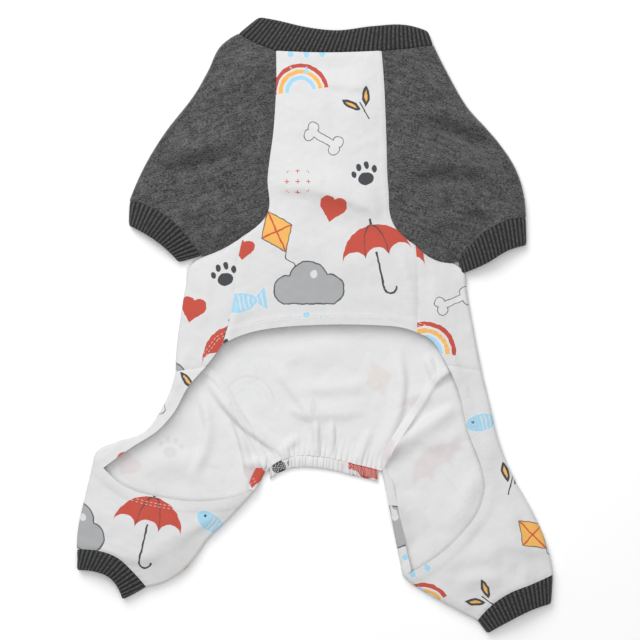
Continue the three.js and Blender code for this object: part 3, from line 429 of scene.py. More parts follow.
class JumpsuitStage(bpy.types.PropertyGroup):
    """The camera, the lights and the floor."""

    lens: FloatProperty(name="Lens", description="Focal length of the camera", default=110.0, min=20.0)
    front_power: FloatProperty(name="Front light", description="Watts of the light above", default=12.0)
    side_power: FloatProperty(name="Side light", description="Watts of the light at one side", default=15.0)
    fill: FloatProperty(name="Fill light", description="Strength of the light from all round", default=0.32)


# Lines


def bulge(bows, share):
    """The bulge of a line at shares of its chord, on one smooth curve through its bows."""
    knots, heights = np.array([(0.0, 0.0), *bows, (1.0, 0.0)]).T
    slope = np.diff(heights) / np.diff(knots)
    slopes = np.empty(len(knots))
    slopes[1:-1] = (slope[:-1] + slope[1:]) / 2
    slopes[0] = 2 * slope[0] - slopes[1]
    slopes[-1] = 2 * slope[-1] - slopes[-2]
    k = np.clip(np.searchsorted(knots, share) - 1, 0, len(knots) - 2)
    span = knots[k + 1] - knots[k]
    t = (share - knots[k]) / span
    rise = t * t * (3 - 2 * t)
    ends = t * (1 - t) ** 2 * slopes[k] - t * t * (1 - t) * slopes[k + 1]
    return heights[k] * (1 - rise) + heights[k + 1] * rise + span * ends


def line(start, end, bows=(), rise=0.0):
    """A bowed line between two places, as a function of the shares along it."""
    along = end - start

    def curve(share):
        share = np.asarray(share, float)
        places = start + share[..., None] * along
        if len(bows):
            bow = bulge(bows, share)
            places[..., 0] -= along[1] * bow
            places[..., 1] += along[0] * bow
        places[..., 2] += rise * np.sin(np.pi * share)
        return places

    return curve


def sample(curve, count, start=0.0, end=1.0):
    return curve(np.linspace(start, end, count + 1))


def floored(path):
    return path * (1, 1, 0)


def flat_length(a, b):
    return math.hypot(b[0] - a[0], b[1] - a[1])


def joined(*runs):
    return np.concatenate([runs[0], *(run[1:] for run in runs[1:])])


def ways(path):
    """The share of the way along a path at each of its places."""
    steps = np.linalg.norm(np.diff(path, axis=0), axis=1)
    gone = np.concatenate([[0.0], np.cumsum(steps)])
    return gone / gone[-1]


def smooth(value, low=0.0, high=1.0):
    t = np.clip((value - low) / (high - low), 0, 1)
    return t * t * (3 - 2 * t)


def pinned(path, start=None, end=None, share=0.2):
    """The path with its ends moved to other places, eased over a share of its length."""
    t = np.linspace(0, 1, len(path))[:, None]
    moved = path.copy()
    if start is not None:
        moved += (1 - smooth(t, 0, share)) * (start - path[0])
    if end is not None:
        moved += smooth(t, 1 - share, 1) * (end - path[-1])
    return moved


def backwards(curve):
    return lambda share: curve(1 - np.asarray(share))


def chain(*curves):
    """Several lines end to end as one, each taking its share of the length."""
    lengths = [flat_length(curve(0.0), curve(1.0)) for curve in curves]
    marks = np.concatenate([[0.0], np.cumsum(lengths)]) / sum(lengths)

    def curve(share):
        share = np.asarray(share, float)
        part = np.clip(np.searchsorted(marks, share) - 1, 0, len(curves) - 1)
        places = np.zeros(share.shape + (3,))
        for k, one in enumerate(curves):
            way = np.clip((share - marks[k]) / (marks[k + 1] - marks[k]), 0, 1)
            places += np.where((part == k)[..., None], one(way), 0)
        return places

    return curve


def lay_out(size, name):
    """All lines of one side of the garment, in millimetres in the frame."""
    side = -1 if name == "left" else 1
    fold_lift = 2 * size.fold_radius
    at = {"chest_top": np.array([size.chest_top_width / 2, 0, size.neck_lift])}

    def step(to, start, distance, row, lift):
        share, degrees = TURNS[name][row]
        turn = math.radians(degrees)
        way = np.array([math.sin(turn), -math.cos(turn), 0])
        at[to] = floored(at[start]) + distance * share * way + (0, 0, lift)

    step("neck", "chest_top", size.neck_side, "neck", fold_lift)
    step("collar", "neck", size.collar_height, "collar", fold_lift)
    step("side_top", "chest_top", size.raglan_seam, "raglan", size.chest_lift)
    step("underarm", "side_top", size.armhole, "armhole", size.underarm_lift)
    step("cuff_in", "underarm", size.underarm_length, "underarm", fold_lift)
    step("cuff_out", "cuff_in", size.sleeve_hem_width, "cuff_seam", fold_lift)
    step("cuff_edge_out", "cuff_out", size.sleeve_cuff_height, "cuff_outer", fold_lift)
    step("cuff_edge_in", "cuff_in", size.sleeve_cuff_height, "cuff_inner", fold_lift)
    step("hip", "underarm", size.side_length, "side", fold_lift)
    step("hem_top", "side_top", size.chest_side_seam, "chest_seam", size.hem_lift)
    step("knee", "hip", size.hip_length, "hip", fold_lift)
    step("hem_low", "knee", size.knee_strip, "knee", size.hip_lift)
    step("leg_out", "knee", size.leg_length, "outer", fold_lift)
    step("leg_in", "leg_out", size.leg_hem_width, "leg_seam", fold_lift)
    step("leg_edge_out", "leg_out", size.leg_cuff_height, "leg_outer", fold_lift)
    step("leg_edge_in", "leg_in", size.leg_cuff_height, "leg_inner", fold_lift)
    step("crotch", "leg_in", size.inseam, "inner", fold_lift)
    at["tail"] = np.array([size.tail_width / 2 - side * size.tail_offset, -size.back_length, 0])

    def outwards(curve):
        return lambda share: curve(share) * (side, 1, 1) + (*NECK_PLACE, 0)

    def drawn(start, end, row, rise=0.0):
        return outwards(line(at[start], at[end], BOWS[name].get(row, ()), rise))

    hem = line(at["hem_top"], at["hem_low"], BOWS[name]["hem"])
    split = HEM_SPLIT[name]
    place = {key: value * (side, 1, 1) + (*NECK_PLACE, 0) for key, value in at.items()}
    return SimpleNamespace(
        name=name,
        side=side,
        split=split,
        place=place,
        neck=drawn("neck", "chest_top", "neck"),
        raglan=drawn("chest_top", "side_top", "raglan"),
        armhole=drawn("side_top", "underarm", "armhole"),
        sleeve_fold=drawn("neck", "cuff_out", "sleeve_fold"),
        cuff_seam=drawn("cuff_out", "cuff_in", "cuff_seam", size.cuff_rise),
        cuff_edge=drawn("cuff_edge_out", "cuff_edge_in", "cuff_edge", size.cuff_rise),
        side_fold=drawn("underarm", "hip", "side"),
        chest_seam=drawn("side_top", "hem_top", "chest_seam"),
        hem=outwards(hem),
        hip_seam=outwards(line(at["hip"], hem(split))),
        hip_fold=drawn("hip", "knee", "hip"),
        knee_line=drawn("knee", "hem_low", "knee"),
        leg_hem=drawn("hem_low", "crotch", "leg_hem", size.leg_rise / 2),
        outer_fold=drawn("knee", "leg_out", "outer"),
        inner_fold=drawn("crotch", "leg_in", "inner"),
        leg_seam=drawn("leg_out", "leg_in", "leg_seam", size.leg_rise),
        leg_edge=drawn("leg_edge_out", "leg_edge_in", "leg_edge", size.leg_rise),
        back_seam=drawn("hip", "tail", "back_seam"),
        crotch_edge=drawn("tail", "crotch", "crotch_edge"),
        knee_low=drawn("knee", "crotch", "knee_low"),
    )


def garment(context):
    """The sizes in millimetres, both sides' lines and the lines that cross the body."""
    group = context.scene.jumpsuit_sizes
    size = SimpleNamespace(**{key: getattr(group, key) / MM for key in JumpsuitSizes.__annotations__})
    left, right = lay_out(size, "left"), lay_out(size, "right")
    return SimpleNamespace(
        size=size,
        left=left,
        right=right,
        sides=(left, right),
        neck_front=line(left.raglan(0.0), right.raglan(0.0), NECK_BOWS),
        collar_edge=line(
            left.place["collar"], right.place["collar"], COLLAR_BOWS, size.neck_lift - 2 * size.fold_radius
        ),
        belly_hem=line(left.hem(0.0), right.hem(0.0), BELLY_BOWS),
        tail_seam=line(left.place["tail"], right.place["tail"], TAIL_BOWS),
    )


# Creases


def to_path(points, path):
    """For each point its signed distance to a path, and the share of the way along the path."""
    path = np.asarray(path, float)[:, :2]
    steps = np.diff(path, axis=0)
    lengths = np.linalg.norm(steps, axis=1)
    gone = np.concatenate([[0.0], np.cumsum(lengths)])
    best = np.full(len(points), np.inf)
    signed = np.zeros(len(points))
    share = np.zeros(len(points))
    for k, step in enumerate(steps):
        if lengths[k] == 0:
            continue
        off = points - path[k]
        t = np.clip(off @ step / lengths[k] ** 2, 0, 1)
        far = np.linalg.norm(off - t[:, None] * step, axis=1)
        nearer = far < best
        best[nearer] = far[nearer]
        cross = step[0] * off[:, 1] - step[1] * off[:, 0]
        signed[nearer] = (np.sign(cross) * far)[nearer]
        share[nearer] = ((gone[k] + t * lengths[k]) / gone[-1])[nearer]
    return signed, share


def rounded_path(path):
    """A smooth path of many places through the few of a crease."""
    knots = np.arange(len(path))
    t = np.linspace(0, knots[-1], CREASE_STEPS + 1)
    curves = [np.polyfit(knots, values, len(path) - 1) for values in np.asarray(path, float).T]
    return np.column_stack([np.polyval(curve, t) for curve in curves])


def crease_heights(points, folds):
    heights = np.zeros(len(points))
    for path, height, width, lean in folds:
        away, share = to_path(points, rounded_path(path))
        reach = width * (1 + lean * np.where(away > 0, 1, -1))
        fade = smooth(np.minimum(share, 1 - share), 0, CREASE_FADE)
        heights += CREASE_DEPTH * height * fade * np.exp(-((away / reach) ** 2))
    return heights


def ripples(points, height, wavelength, seed):
    """A gentle unevenness, the same in each run."""
    rng = np.random.default_rng(seed)
    angle = rng.uniform(0, np.pi, RIPPLE_WAVES)
    pitch = wavelength * rng.uniform(0.6, 1.7, RIPPLE_WAVES)
    phase = rng.uniform(0, 2 * np.pi, RIPPLE_WAVES)
    across = points @ np.array([np.cos(angle), np.sin(angle)])
    return height * np.sin(across * (2 * np.pi / pitch) + phase).mean(axis=1) * 2


def paths(suit, steps, names, *middle):
    """The lines of these names on both sides and the lines that cross the body, as paths."""
    sides = [getattr(lines, name) for name in names for lines in suit.sides]
    return [sample(curve, steps) for curve in (*middle, *sides)]


def hem_paths(suit):
    return paths(suit, HEM_STEPS, ("hem", "leg_hem"), suit.belly_hem)


def tail_gathers(suit, points):
    away, share = to_path(points, sample(suit.tail_seam, SEAM_STEPS))
    gathers = 0.5 + 0.5 * np.sin(share * TAIL_TURNS + ripples(points, *GATHER_RIPPLE))
    return (TAIL_RISE + TAIL_GATHERS * gathers) * np.exp(-np.abs(away) / TAIL_REACH)


def hem_thickness(suit, points):
    """The step where a hem's turned edge ends under the cloth."""
    nearest = np.min([np.abs(to_path(points, path)[0]) for path in hem_paths(suit)], axis=0)
    return HEM_THICKNESS * (1 - smooth(nearest, suit.size.hem_depth - 1, suit.size.hem_depth))


def relief(suit, places, fleece):
    """How far the creases, seams and hems lift each place of a cloth."""
    points = places[:, :2]
    top = crease_heights(points, SLEEVE_FOLDS if fleece else UPPER_FOLDS)
    for row in COTTON_RIPPLES:
        top += ripples(points, *row)
    if fleece:
        top = FLEECE_DEPTH * top + ripples(points, *FLEECE_RIPPLE)
        below = np.zeros(len(points))
    else:
        top += hem_thickness(suit, points)
        below = crease_heights(points, BACK_FOLDS) + INSIDE_RIPPLE[0] + ripples(points, *INSIDE_RIPPLE)
        below = np.maximum(below, 0) + tail_gathers(suit, points)
    puckered = ripples(points, *PUCKER_RIPPLE)
    for path in paths(suit, SEAM_STEPS, UPPER_SEAMS, suit.neck_front):
        away, share = to_path(points, path)
        pucker = PUCKER * np.sin(share * len(path) * 4 + puckered)
        top += pucker * np.exp(-np.abs(away) / PUCKER_REACH) - SEAM_DIP * np.exp(-((away / SEAM_REACH) ** 2))
    for path in paths(suit, SEAM_STEPS, ("back_seam",)):
        below += LOW_SEAM * np.exp(-((to_path(points, path)[0] / LOW_SEAM_REACH) ** 2))
    on_top = smooth(places[:, 2], *LAYERS)
    return on_top * top + (1 - on_top) * below


# Cloth


def fold_share(suit, curve):
    """The share of a line that a fold's radius takes at its end."""
    return suit.size.fold_radius / flat_length(curve(0.0), curve(1.0))


def level_way(places):
    """The level direction of each row, one long."""
    way = places * (1, 1, 0)
    return way / np.linalg.norm(way, axis=-1, keepdims=True)


def fold_edge(suit, outline, opposite, lift=None):
    """Where the upper layer leaves the fold at each place of an outline, on the way to those opposite."""
    lift = 2 * suit.size.fold_radius if lift is None else lift
    return floored(outline + suit.size.fold_radius * level_way(opposite - outline)) + (0, 0, lift)


def folded(upper, outline, lower):
    """The rounded fold from the upper layer round the outline to the lower one."""
    angle = np.linspace(0, np.pi, FOLD_STEPS + 1)[None, :, None]
    inside = upper[:, None] + (lower - upper)[:, None] * angle / np.pi
    net = inside + (outline[:, None] - inside) * np.sin(angle)
    middle = (upper[:, 2] + lower[:, 2]) / 2
    half = (upper[:, 2] - lower[:, 2]) / 2
    net[..., 2] = middle[:, None] + half[:, None] * np.cos(angle[..., 0])
    return net


def spread(first, last, left, right, lift=None):
    """A smooth sheet between four edge paths. It never dips below the floor."""
    s = ((ways(left) + ways(right)) / 2)[:, None, None]
    w = ((ways(first) + ways(last)) / 2)[None, :, None]
    net = left[:, None] * (1 - w) + right[:, None] * w + first[None] * (1 - s) + last[None] * s
    net -= (first[0] * (1 - w) + first[-1] * w) * (1 - s) + (last[0] * (1 - w) + last[-1] * w) * s
    if lift:
        net[..., 2] += lift(s[..., 0], w[..., 0])
    net[..., 2] = np.maximum(net[..., 2], 0)
    net[:, 0], net[:, -1] = left, right
    net[0], net[-1] = first, last
    return net


def fold_lift(folds, puff):
    """How far a piece's puff and its main folds lift each place of it."""

    def lift(s, w):
        fade = smooth(np.minimum(np.minimum(s, 1 - s), np.minimum(w, 1 - w)), 0, FOLD_FADE)
        ridges = 0
        for (s0, w0), (s1, w1), rise, width in folds:
            t = ((s - s0) * (s1 - s0) + (w - w0) * (w1 - w0)) / ((s1 - s0) ** 2 + (w1 - w0) ** 2)
            t = np.clip(t, 0, 1)
            away = np.hypot(s - s0 - t * (s1 - s0), w - w0 - t * (w1 - w0))
            ridges = ridges + rise * np.exp(-((away / width) ** 2))
        return puff * (np.sin(np.pi * s) * np.sin(np.pi * w) + fade * ridges)

    return lift


def print_place(net, turn, shift):
    """Where each place of a net lies on the flat cloth, in millimetres."""
    c, s = math.cos(math.radians(turn)), math.sin(math.radians(turn))
    x, y = net[..., 0], net[..., 1]
    return np.stack([x * c + y * s, y * c - x * s], -1) + shift


def unrolled(net):
    """A rounded fold laid flat, where the cloth's own length goes on past its upper edge."""
    steps = np.linalg.norm(np.diff(net, axis=1), axis=2)
    gone = np.concatenate([np.zeros((len(net), 1)), np.cumsum(steps, axis=1)], axis=1)
    middle = net[:, net.shape[1] // 2] - net[:, 0]
    out = middle[:, :2] / np.maximum(np.linalg.norm(middle[:, :2], axis=1, keepdims=True), 1e-6)
    return net[:, :1, :2] + out[:, None] * gone[..., None]


def new_mesh(name, places, faces, flats):
    """A mesh of places in millimetres, with the place of each corner on the flat cloth."""
    mesh = bpy.data.meshes.new(name)
    mesh.from_pydata((places * MM).tolist(), [], faces)
    layer = mesh.uv_layers.new(name="flat_cloth")
    layer.data.foreach_set("uv", (np.asarray(flats) * MM).ravel())
    return mesh


def tube_corners(rows, around, closed=False):
    """The rows and steps of the corners of a tube's quads, and its faces. The last step meets the first."""
    row, step = np.mgrid[: rows if closed else rows - 1, :around].reshape(2, -1, 1)
    row, step = row + (0, 0, 1, 1), step + (0, 1, 1, 0)
    return row, step, (row % rows * around + step % around).tolist()


class Cloth:
    """Nets of quads that become one sheet, with the place of each corner on the flat cloth."""

    def __init__(self, turn=0.0, shift=(0.0, 0.0)):
        self.turn = turn
        self.shift = np.array(shift)
        self.nets = []

    def add(self, net, shift=(0.0, 0.0)):
        self.nets.append((net, print_place(net, self.turn, self.shift + shift)))

    def add_fold(self, upper, outline, lower, shift=(0.0, 0.0)):
        net = folded(upper, outline, lower)
        self.nets.append((net, print_place(unrolled(net), self.turn, self.shift + shift)))

    def mesh(self, name, suit, fleece):
        places, corners, flats = [], [], []
        start = 0
        for net, flat in self.nets:
            rows, columns = net.shape[:2]
            index = np.arange(rows * columns).reshape(rows, columns)
            quads = np.stack([index[:-1, :-1], index[:-1, 1:], index[1:, 1:], index[1:, :-1]], -1)
            quads = quads.reshape(-1, 4)
            corners.append(quads + start)
            flats.append(flat.reshape(-1, 2)[quads])
            places.append(net.reshape(-1, 3))
            start += rows * columns
        places = np.concatenate(places)
        places[:, 2] += relief(suit, places, fleece)
        return new_mesh(name, places, np.concatenate(corners).tolist(), np.concatenate(flats))


def face_outwards(mesh):
    """Joins the nets along their edges and turns all faces the same way, the highest ones facing up."""
    work = bmesh.new()
    work.from_mesh(mesh)
    bmesh.ops.remove_doubles(work, verts=work.verts, dist=MERGE * MM)
    bmesh.ops.dissolve_degenerate(work, edges=work.edges, dist=MERGE * MM)
    bmesh.ops.recalc_face_normals(work, faces=work.faces)
    work.normal_update()
    highest = sorted(work.faces, key=lambda face: face.calc_center_median().z)[-40:]
    if sum(face.normal.z for face in highest) < 0:
        bmesh.ops.reverse_faces(work, faces=work.faces)
    work.to_mesh(mesh)
    work.free()


def put(name, mesh, finishes, node=None):
    """Adds a piece to the scene, in place of its CAD node where it has one."""
    piece = bpy.data.objects.new(name, mesh)
    bpy.context.collection.objects.link(piece)
    for material in finishes:
        piece.data.materials.append(material)
    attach(piece, "root")
    if node:
        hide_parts(node)
    return piece


def give_wall(piece, thickness, inner_finish=0):
    """Thickens a sheet inwards. inner_finish counts on from the outside's material to the inside's."""
    bpy.ops.object.select_all(action="DESELECT")
    piece.select_set(True)
    bpy.context.view_layer.objects.active = piece
    wall = piece.modifiers.new("Wall", "SOLIDIFY")
    wall.thickness = thickness * MM
    wall.offset = -1
    wall.material_offset = inner_finish
    wall.material_offset_rim = inner_finish
    bpy.ops.object.modifier_apply(modifier=wall.name)


def sew(node, cloth, suit, slot):
    """Makes a sheet of fleece or cotton in place of a node, gives it its wall and declares its flat cut."""
    fleece = slot == "grey_fleece"
    finishes = [fleece_material()] * 2 if fleece else [print_material(), wrong_side_material()]
    mesh = cloth.mesh(node + "_cloth", suit, fleece)
    face_outwards(mesh)
    piece = put(mesh.name, mesh, finishes, node)
    give_wall(piece, suit.size.fleece_wall if fleece else suit.size.cotton_wall, 1)
    mesh = piece.data
    places = np.empty(len(mesh.vertices) * 3)
    mesh.vertices.foreach_get("co", places)
    places[2::3] = np.maximum(places[2::3], 0)
    mesh.vertices.foreach_set("co", places)
    mesh.update()
    bpy.ops.object.shade_smooth_by_angle(angle=math.radians(SMOOTH_ANGLE))


# Ribbed bands


def around_band(curve, count, radius):
    """Evenly spaced places round a flattened band at one height of it, and the way that each faces."""
    share = radius / flat_length(curve(0.0), curve(1.0))
    upper = sample(curve, BAND_STEPS, 1 - share, share)
    lower = floored(upper)[::-1]
    angle = np.linspace(0, np.pi, FOLD_STEPS + 1)[:, None]

    def end(place, top, low):
        turn = folded(top[None], place[None], low[None])[0]
        return turn, level_way(place - top) * np.sin(angle) + (0, 0, 1) * np.cos(angle)

    left, left_facing = end(curve(0.0), upper[-1], lower[0])
    right, right_facing = end(curve(1.0), upper[0], lower[-1])
    up = np.tile((0.0, 0.0, 1.0), (len(upper), 1))
    path = joined(upper, left, lower, right[::-1])
    facing = joined(up, left_facing, -up, right_facing[::-1])
    way, marks = ways(path), np.arange(count) / count
    places, facings = (
        np.column_stack([np.interp(marks, way, values) for values in each.T]) for each in (path, facing)
    )
    return places, facings / np.linalg.norm(facings, axis=1, keepdims=True)


def ribbed_band(node, suit, seam, edge):
    """A knitted band from its seam to its free edge, ribbed all round, with a rounded free edge."""
    size = suit.size
    t = np.linspace(0, 1, 9)
    height = np.linalg.norm(edge(t) - seam(t), axis=1).mean()

    def level(share):
        def curve(t):
            low, high = seam(t), edge(t)
            places = low + (high - low) * max(share, SEAM_GAP / height)
            swell = size.rib_swell * math.sin(math.pi * min(share, 1))
            places[..., 2] += swell * np.sin(np.pi * np.asarray(t))
            return places

        return curve

    middle, _ = around_band(level(0.5), 400, size.fold_radius)
    ribs = round(np.linalg.norm(middle - np.roll(middle, 1, axis=0), axis=1).sum() / size.rib_pitch)
    count = ribs * RIB_STEPS
    phase = np.arange(count) / RIB_STEPS * 2 * np.pi
    valley = (0.5 - 0.5 * np.cos(phase)) ** 0.7
    full = size.rib_depth + size.rib_wall
    rows = [(share, 0.0) for share in np.linspace(0.0, 1.0, BAND_ROWS + 1)]
    rows += [(1 + 0.5 * size.rib_wall / height * math.sin(math.pi * t), t) for t in (0.2, 0.5, 0.8)]
    rows += [(share, 1.0) for share in np.linspace(1.0, 0.0, BAND_INNER_ROWS + 1)]

    net, heights = [], []
    for share, depth in rows:
        places, facings = around_band(level(share), count, size.fold_radius)
        pinch = SEAM_PINCH * math.exp(-share * height / SEAM_PINCH_REACH)
        edge_roll = EDGE_ROLL * math.exp(-(1 - min(share, 1)) * height)
        outer = size.rib_depth * valley * (1 - 0.5 * edge_roll) + pinch + edge_roll
        net.append(places - facings * (outer * (1 - depth) + full * depth)[:, None])
        heights.append(share * height)
    places = np.concatenate(net)
    places[:, 2] = np.maximum(places[:, 2], 0)
    total = ribs * size.rib_pitch
    row, step, faces = tube_corners(len(rows), count, closed=True)
    flats = np.stack([step / count * total, np.array(heights)[row % len(rows)]], -1)
    mesh = new_mesh(node + "_rib", places, faces, flats)
    work = bmesh.new()
    work.from_mesh(mesh)
    if work.calc_volume(signed=True) < 0:
        bmesh.ops.reverse_faces(work, faces=work.faces)
    work.to_mesh(mesh)
    work.free()
    piece = put(mesh.name, mesh, [rib_material()], node)
    mesh.shade_smooth()


# Cut pieces


def rows_for(distance, suit):
    return max(2, round(distance / suit.size.net))


def raglan_path(suit, lines):
    return sample(lines.raglan, rows_for(suit.size.raglan_seam, suit))


def low_armhole(suit, armhole):
    """The armhole's path on the lower layer, which rises a little to the underarm."""
    rise = np.linspace(0, 1, len(armhole)) ** 3 * suit.size.underarm_drop
    return floored(armhole) + rise[:, None] * (0, 0, 1)


def sleeve(suit, lines):
    size = suit.size
    cuff = fold_share(suit, lines.cuff_seam)
    cuff_in = lines.cuff_seam(1 - cuff)
    columns = rows_for(size.sleeve_hem_width + 12, suit)
    raglan = raglan_path(suit, lines)
    armhole = sample(lines.armhole, rows_for(size.armhole, suit))
    low = low_armhole(suit, armhole)
    closing = sample(line(armhole[-1], cuff_in), 5)
    low_closing = sample(line(low[-1], floored(cuff_in)), 5)
    seam = joined(raglan, armhole, closing)
    neck = sample(lines.neck, columns, fold_share(suit, lines.neck), 1)
    hem = sample(lines.cuff_seam, columns, cuff, 1 - cuff)
    outline = lines.sleeve_fold(ways(seam))
    edge = pinned(fold_edge(suit, outline, seam), neck[0], hem[0], 0.08)
    node = "sleeve_" + lines.name
    lower = spread(floored(neck), floored(hem), floored(edge), joined(floored(raglan), low, low_closing))
    cloth = Cloth(turn=-20 * lines.side)
    cloth.add(spread(neck, hem, edge, seam, fold_lift(FOLDS[node], size.sleeve_puff)))
    cloth.add_fold(edge, outline, lower[:, 0])
    cloth.add(lower)
    cloth.add_fold(closing, sample(line(armhole[-1], lines.cuff_seam(1.0)), 5), low_closing)
    sew(node, cloth, suit, "grey_fleece")


def chest_panel(suit):
    size = suit.size
    columns = rows_for(size.chest_top_width + 50, suit)
    rows = rows_for(size.chest_side_seam, suit)
    seams = [joined(raglan_path(suit, lines), sample(lines.chest_seam, rows)) for lines in suit.sides]
    neck, belly = sample(suit.neck_front, columns), sample(suit.belly_hem, columns)
    cloth = Cloth()
    cloth.add(spread(neck, belly, *seams, fold_lift(FOLDS["chest_panel"], size.chest_puff)))
    sew("chest_panel", cloth, suit, "printed_cotton")


def side_fold(suit, lines):
    """The body's side fold from the underarm to the hip seam, with its edges on both layers."""
    rows = rows_for(suit.size.side_length, suit)
    outline = sample(lines.side_fold, rows)
    edge = fold_edge(suit, outline, sample(lines.chest_seam, rows))
    start = lines.armhole(1.0)
    upper = pinned(edge, start, lines.hip_seam(fold_share(suit, lines.hip_seam)))
    low_start = floored(start) + (0, 0, suit.size.underarm_drop)
    lower = pinned(floored(upper), low_start, floored(lines.back_seam(fold_share(suit, lines.back_seam))))
    return outline, upper, lower


def back_panel(suit):
    size = suit.size
    folds = [side_fold(suit, lines) for lines in suit.sides]
    columns = rows_for(size.back_length * 0.62, suit)

    def low_seam(lines):
        armhole = sample(lines.armhole, rows_for(size.armhole, suit))
        return joined(floored(raglan_path(suit, lines)), low_armhole(suit, armhole))

    def leg_seam(lines):
        return floored(sample(lines.back_seam, rows_for(120, suit), fold_share(suit, lines.back_seam), 1))

    def across(place, rise):
        a, b = (lower[place] for _, _, lower in folds)
        path = floored(sample(line(a, b), columns))
        path[:, 1] += rise * (1 - np.linspace(-1, 1, columns + 1) ** 4)
        return pinned(path, a, b, 0.12)

    underarms, hips = across(0, 0), across(-1, 0.3 * size.side_length)
    neck = floored(sample(suit.neck_front, columns))
    tail = floored(sample(suit.tail_seam, columns))
    cloth = Cloth(shift=(37, 22))
    cloth.add(spread(neck, underarms, low_seam(suit.left), low_seam(suit.right)))
    cloth.add(spread(underarms, hips, folds[0][2], folds[1][2]))
    cloth.add(spread(hips, tail, leg_seam(suit.left), leg_seam(suit.right)))
    rows = rows_for(size.armhole + 6, suit)
    for lines, (outline, upper, lower), shift in zip(suit.sides, folds, ((61, 48), (18, 83))):
        hip = sample(lines.hip_seam, rows - rows // 3, fold_share(suit, lines.hip_seam), 1)
        end = joined(hip, sample(lines.hem, rows // 3, lines.split, 0))
        chest_seam = sample(lines.chest_seam, len(upper) - 1)
        cloth.add_fold(upper, outline, lower, shift)
        cloth.add(spread(sample(backwards(lines.armhole), rows), end, upper, chest_seam), shift)
    sew("back_panel", cloth, suit, "printed_cotton")


def allowance(seam, side, width):
    """The cut edge beyond a seam, which lies on the next piece and narrows to nothing at both ends."""
    along = np.gradient(seam, axis=0)
    inward = np.column_stack([-along[:, 1], along[:, 0], 0 * along[:, 0]])
    inward *= -side * np.sign(inward[:, :1]) / np.linalg.norm(inward, axis=1, keepdims=True)
    t = np.linspace(0, 1, len(seam))
    reach = (width * smooth(np.minimum(t, 1 - t), 0.0, 0.1))[:, None]
    rows = [seam]
    for share, height in ((0.12, 0.9), (0.35, 1.1), (0.65, 1.1), (0.92, 1.0), (1.0, 0.75)):
        rows.append(seam + inward * reach * share + (0, 0, height) * np.minimum(reach, 1))
    return np.stack(rows, axis=1)


def hind_leg(suit, lines):
    """A hind leg: closed round the shin, open to the belly above it, with its free edge turned over."""
    size = suit.size
    strip = rows_for(size.knee_strip, suit)
    long = rows_for(size.hip_length, suit)
    columns = strip + rows_for(70, suit)
    hip = sample(lines.hip_seam, strip, fold_share(suit, lines.hip_seam), 1)
    knee_line = sample(lines.knee_line, strip, fold_share(suit, lines.knee_line), 1)
    hem = sample(lines.hem, long, lines.split, 1)
    back_seam = floored(sample(lines.back_seam, columns, fold_share(suit, lines.back_seam), 1))
    low = fold_share(suit, lines.knee_low)
    knee_low = floored(sample(lines.knee_low, columns, low, 1 - low))

    hip_outline = sample(lines.hip_fold, long)
    hip_upper = pinned(fold_edge(suit, hip_outline, hem), hip[0], knee_line[0])
    hip_lower = pinned(floored(hip_upper), back_seam[0], knee_low[0])

    crotch = 1 - fold_share(suit, lines.leg_hem)
    hem_end = lines.leg_hem(crotch)
    crotch_outline = sample(lines.crotch_edge, long)
    turn_lower = fold_edge(suit, crotch_outline, hip_outline, 0)
    turn_lower = pinned(floored(turn_lower), back_seam[-1], knee_low[-1])
    rise = np.linspace(size.turn_lift, hem_end[2], len(turn_lower))
    turn_upper = pinned(turn_lower + rise[:, None] * (0, 0, 1), end=hem_end)
    turn_edge = turn_upper + (size.turned_edge - size.fold_radius) * level_way(hip_outline - turn_upper)

    rows = rows_for(size.leg_length, suit)
    outer, inner = sample(lines.outer_fold, rows), sample(lines.inner_fold, rows)
    top = joined(knee_line, sample(lines.leg_hem, columns - strip, 0, crotch))
    shin = fold_share(suit, lines.leg_seam)
    bottom = sample(lines.leg_seam, columns, shin, 1 - shin)
    outer_upper = pinned(fold_edge(suit, outer, inner), top[0], bottom[0])
    inner_upper = pinned(fold_edge(suit, inner, outer), top[-1], bottom[-1])
    outer_lower = pinned(floored(outer_upper), knee_low[0])
    inner_lower = pinned(floored(inner_upper), knee_low[-1])

    node = "hind_leg_" + lines.name
    cloth = Cloth(turn=25 * lines.side, shift=(90, 31) if lines.side < 0 else (5.5, -14))
    cloth.add(spread(hip, knee_line, hip_upper, hem))
    cloth.add_fold(hip_upper, hip_outline, hip_lower)
    cloth.add(spread(back_seam, knee_low, hip_lower, turn_lower))
    cloth.add(allowance(back_seam, lines.side, size.seam_allowance))
    cloth.add_fold(turn_upper, crotch_outline, turn_lower)
    cloth.add(np.stack([turn_edge, (turn_edge + turn_upper) / 2, turn_upper], axis=1))
    cloth.add(spread(top, bottom, outer_upper, inner_upper, fold_lift(FOLDS[node], size.leg_puff)))
    cloth.add_fold(outer_upper, outer, outer_lower)
    cloth.add_fold(inner_upper, inner, inner_lower)
    cloth.add(spread(knee_low, floored(bottom), outer_lower, inner_lower))
    sew(node, cloth, suit, "printed_cotton")


def casing_path(suit, steps):
    """The tail's seam between the folds at both of its ends."""
    clear = (suit.size.fold_radius + 0.3) / suit.size.tail_width
    return sample(suit.tail_seam, steps, clear, 1 - clear)


